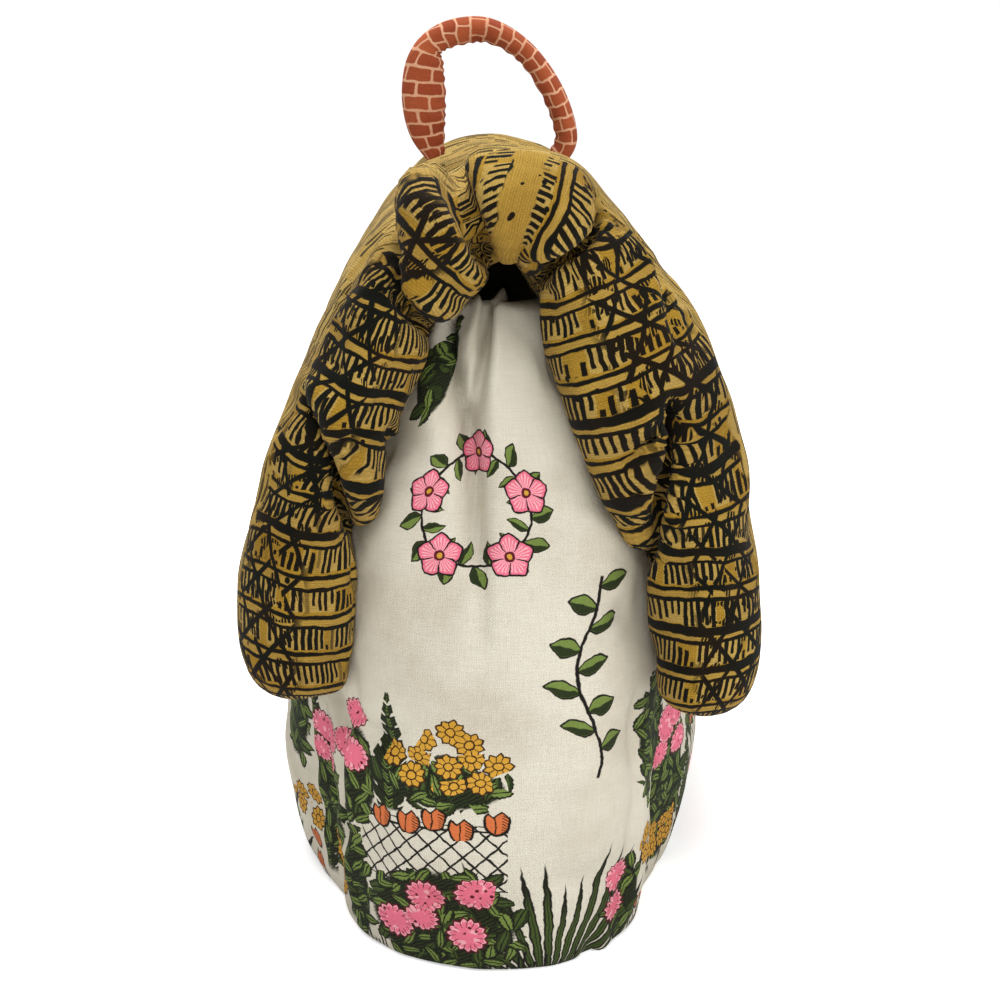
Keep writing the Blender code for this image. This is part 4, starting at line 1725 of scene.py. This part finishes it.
brick_group = make_brick_group()
print("brick print nodes:", len(brick_group.nodes))

# %% [markdown]
# ## The three cloths
#
# Each material reads the piece's own cloth coordinates, so nothing slides when the cloth bends.
# The print gives the colour, the weave gives the height and a little shade, and the soiling
# dulls both. The sheen is the soft glow of fibre ends, and it is weak on washed cotton.

# %% Prints of the three cloths
MUSTARD_DARK = screen(146, 112, 34)
MUSTARD_LIGHT = screen(178, 143, 50)
STRAW_PALE = screen(190, 166, 100)
STRAW_INK_WARM = screen(25, 16, 2)
STRAW_INK_COOL = screen(12, 13, 3)
CLAY_DARK = screen(142, 62, 36)
CLAY_LIGHT = screen(178, 94, 58)
MORTAR_COLOUR = screen(224, 176, 142)
SPECK_COLOUR = screen(70, 62, 50)


def linen_print(tree, x, y):
    garden = use(tree, garden_group, Across=x, Up=y)
    outside = tree.nodes.new("ShaderNodeAttribute")
    outside.attribute_name = "outside"
    seen = Field(tree, outside.outputs["Fac"]).over(0.5, 0.05)
    return paint(tree, LINEN, garden.outputs["Colour"], seen)


def thatch_print(tree, x, y):
    straw = use(tree, straw_group, Down=x - RIDGE_CLOTH, Across=y)
    pale, ink = Field(tree, straw.outputs["Pale"]), Field(tree, straw.outputs["Ink"])
    tone = uneven(tree, x, y, 22.0, detail=2.0, seed=40.0)
    mustard = paint(tree, MUSTARD_DARK, MUSTARD_LIGHT, tone)
    mustard = paint(tree, mustard, STRAW_PALE, pale * 0.8)
    return paint(tree, mustard, paint(tree, STRAW_INK_WARM, STRAW_INK_COOL, tone.over(0.48, 0.1)), ink)


def brick_print(tree, x, y):
    brick = use(tree, brick_group, Along=x, Round=y)
    tone = Field(tree, brick.outputs["Tone"])
    streaks = uneven(tree, x, y, (2.2, 0.5), detail=2.0, seed=8.0)
    clay = paint(tree, CLAY_DARK, CLAY_LIGHT, tone * 0.7 + streaks * 0.5)
    return paint(tree, MORTAR_COLOUR, clay, Field(tree, brick.outputs["Brick"]))


print("prints:", [draw.__name__ for draw in (linen_print, thatch_print, brick_print)])

# %% Cloth materials
CLOTHS = {
    # slot: material, print, roughness, thread and rib, tint of soil and shade, height (m), shade
    "printed_linen": (
        "printed_linen_cloth", linen_print, 0.88, 0.46, 0.5, screen(198, 190, 172), 0.00014, 0.36
    ),
    "thatch_cloth": (
        "thatch_print_cloth", thatch_print, 0.9, 0.7, 0.7, screen(160, 140, 104), 0.0002, 0.45
    ),
    "brick_cloth": (
        "brick_print_cloth", brick_print, 0.86, 0.34, 0.5, screen(176, 140, 120), 0.00014, 0.4
    ),
}


def soiled_and_thread_shaded(tree, colour, x, y, height, slub, tint, shade):
    """The colour after soiling, and with the shade between the threads."""
    soil = use(tree, soil_group, Across=x, Along=y)
    grime, speck = Field(tree, soil.outputs["Grime"]), Field(tree, soil.outputs["Speck"])
    colour = paint(tree, colour, tint, grime * 0.45, "MULTIPLY")
    colour = paint(tree, colour, SPECK_COLOUR, speck * 0.55)
    # painted shade: the colour is darkened in the dips between the threads and where the yarn is thin
    thread_shade = height.under(1.0, 0.8) * shade + slub.under(0.45, 0.12) * (shade * 0.3)
    return paint(tree, colour, tint, thread_shade, "MULTIPLY")


def make_cloth(name, draw_print, roughness, thread, rib, tint, depth, shade):
    material = bpy.data.materials.new(name)
    material.use_nodes = True
    tree = material.node_tree
    shader = tree.nodes["Principled BSDF"]
    shader.inputs["Roughness"].default_value = roughness
    shader.inputs["Sheen Weight"].default_value = 0.03
    shader.inputs["Sheen Roughness"].default_value = 0.6
    shader.inputs["Specular IOR Level"].default_value = 0.08
    uv = tree.nodes.new("ShaderNodeUVMap")
    uv.uv_map = "Cloth"
    x, y = (place * (1.0 / MM) for place in split(tree, uv.outputs["UV"]))
    weave = use(tree, weave_group, Across=x, Along=y, Thread=thread, Rib=rib)
    height, slub = Field(tree, weave.outputs["Height"]), Field(tree, weave.outputs["Slub"])
    colour = soiled_and_thread_shaded(tree, draw_print(tree, x, y), x, y, height, slub, tint, shade)
    tree.links.new(colour, shader.inputs["Base Color"])
    bump = tree.nodes.new("ShaderNodeBump")
    bump.inputs["Strength"].default_value = 0.7
    bump.inputs["Distance"].default_value = depth
    connect(tree, height, bump.inputs["Height"])
    tree.links.new(bump.outputs["Normal"], shader.inputs["Normal"])
    return material


cloths = {slot: make_cloth(*facts) for slot, facts in CLOTHS.items()}
print("materials:", [cloth.name for cloth in cloths.values()])

# %% [markdown]
# ## Putting the pieces on the frame
#
# Each piece says which CAD body it goes with, which part of the frame it covers and which
# material slot it belongs to. All six are stuffed, and the strap is the tightest of them.

# %% Dress the pieces
DRESS = {
    # piece: (part of the frame it covers, slot, how full its padding is)
    "thatch_pad": ("thatch", "thatch_cloth", 0.7),
    "gable_front_panel": ("gable_front", "printed_linen", 0.5),
    "gable_back_panel": ("gable_back", "printed_linen", 0.5),
    "side_left_panel": ("side_left", "printed_linen", 0.5),
    "side_right_panel": ("side_right", "printed_linen", 0.5),
    "loop_strap": ("loop", "brick_cloth", 0.8),
}
for piece in pieces:
    node, slot, fullness = DRESS[piece.name]
    piece.data.materials.append(cloths[slot])
    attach(piece, "root")
    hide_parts(node)
print("pieces dressed:", len(pieces))
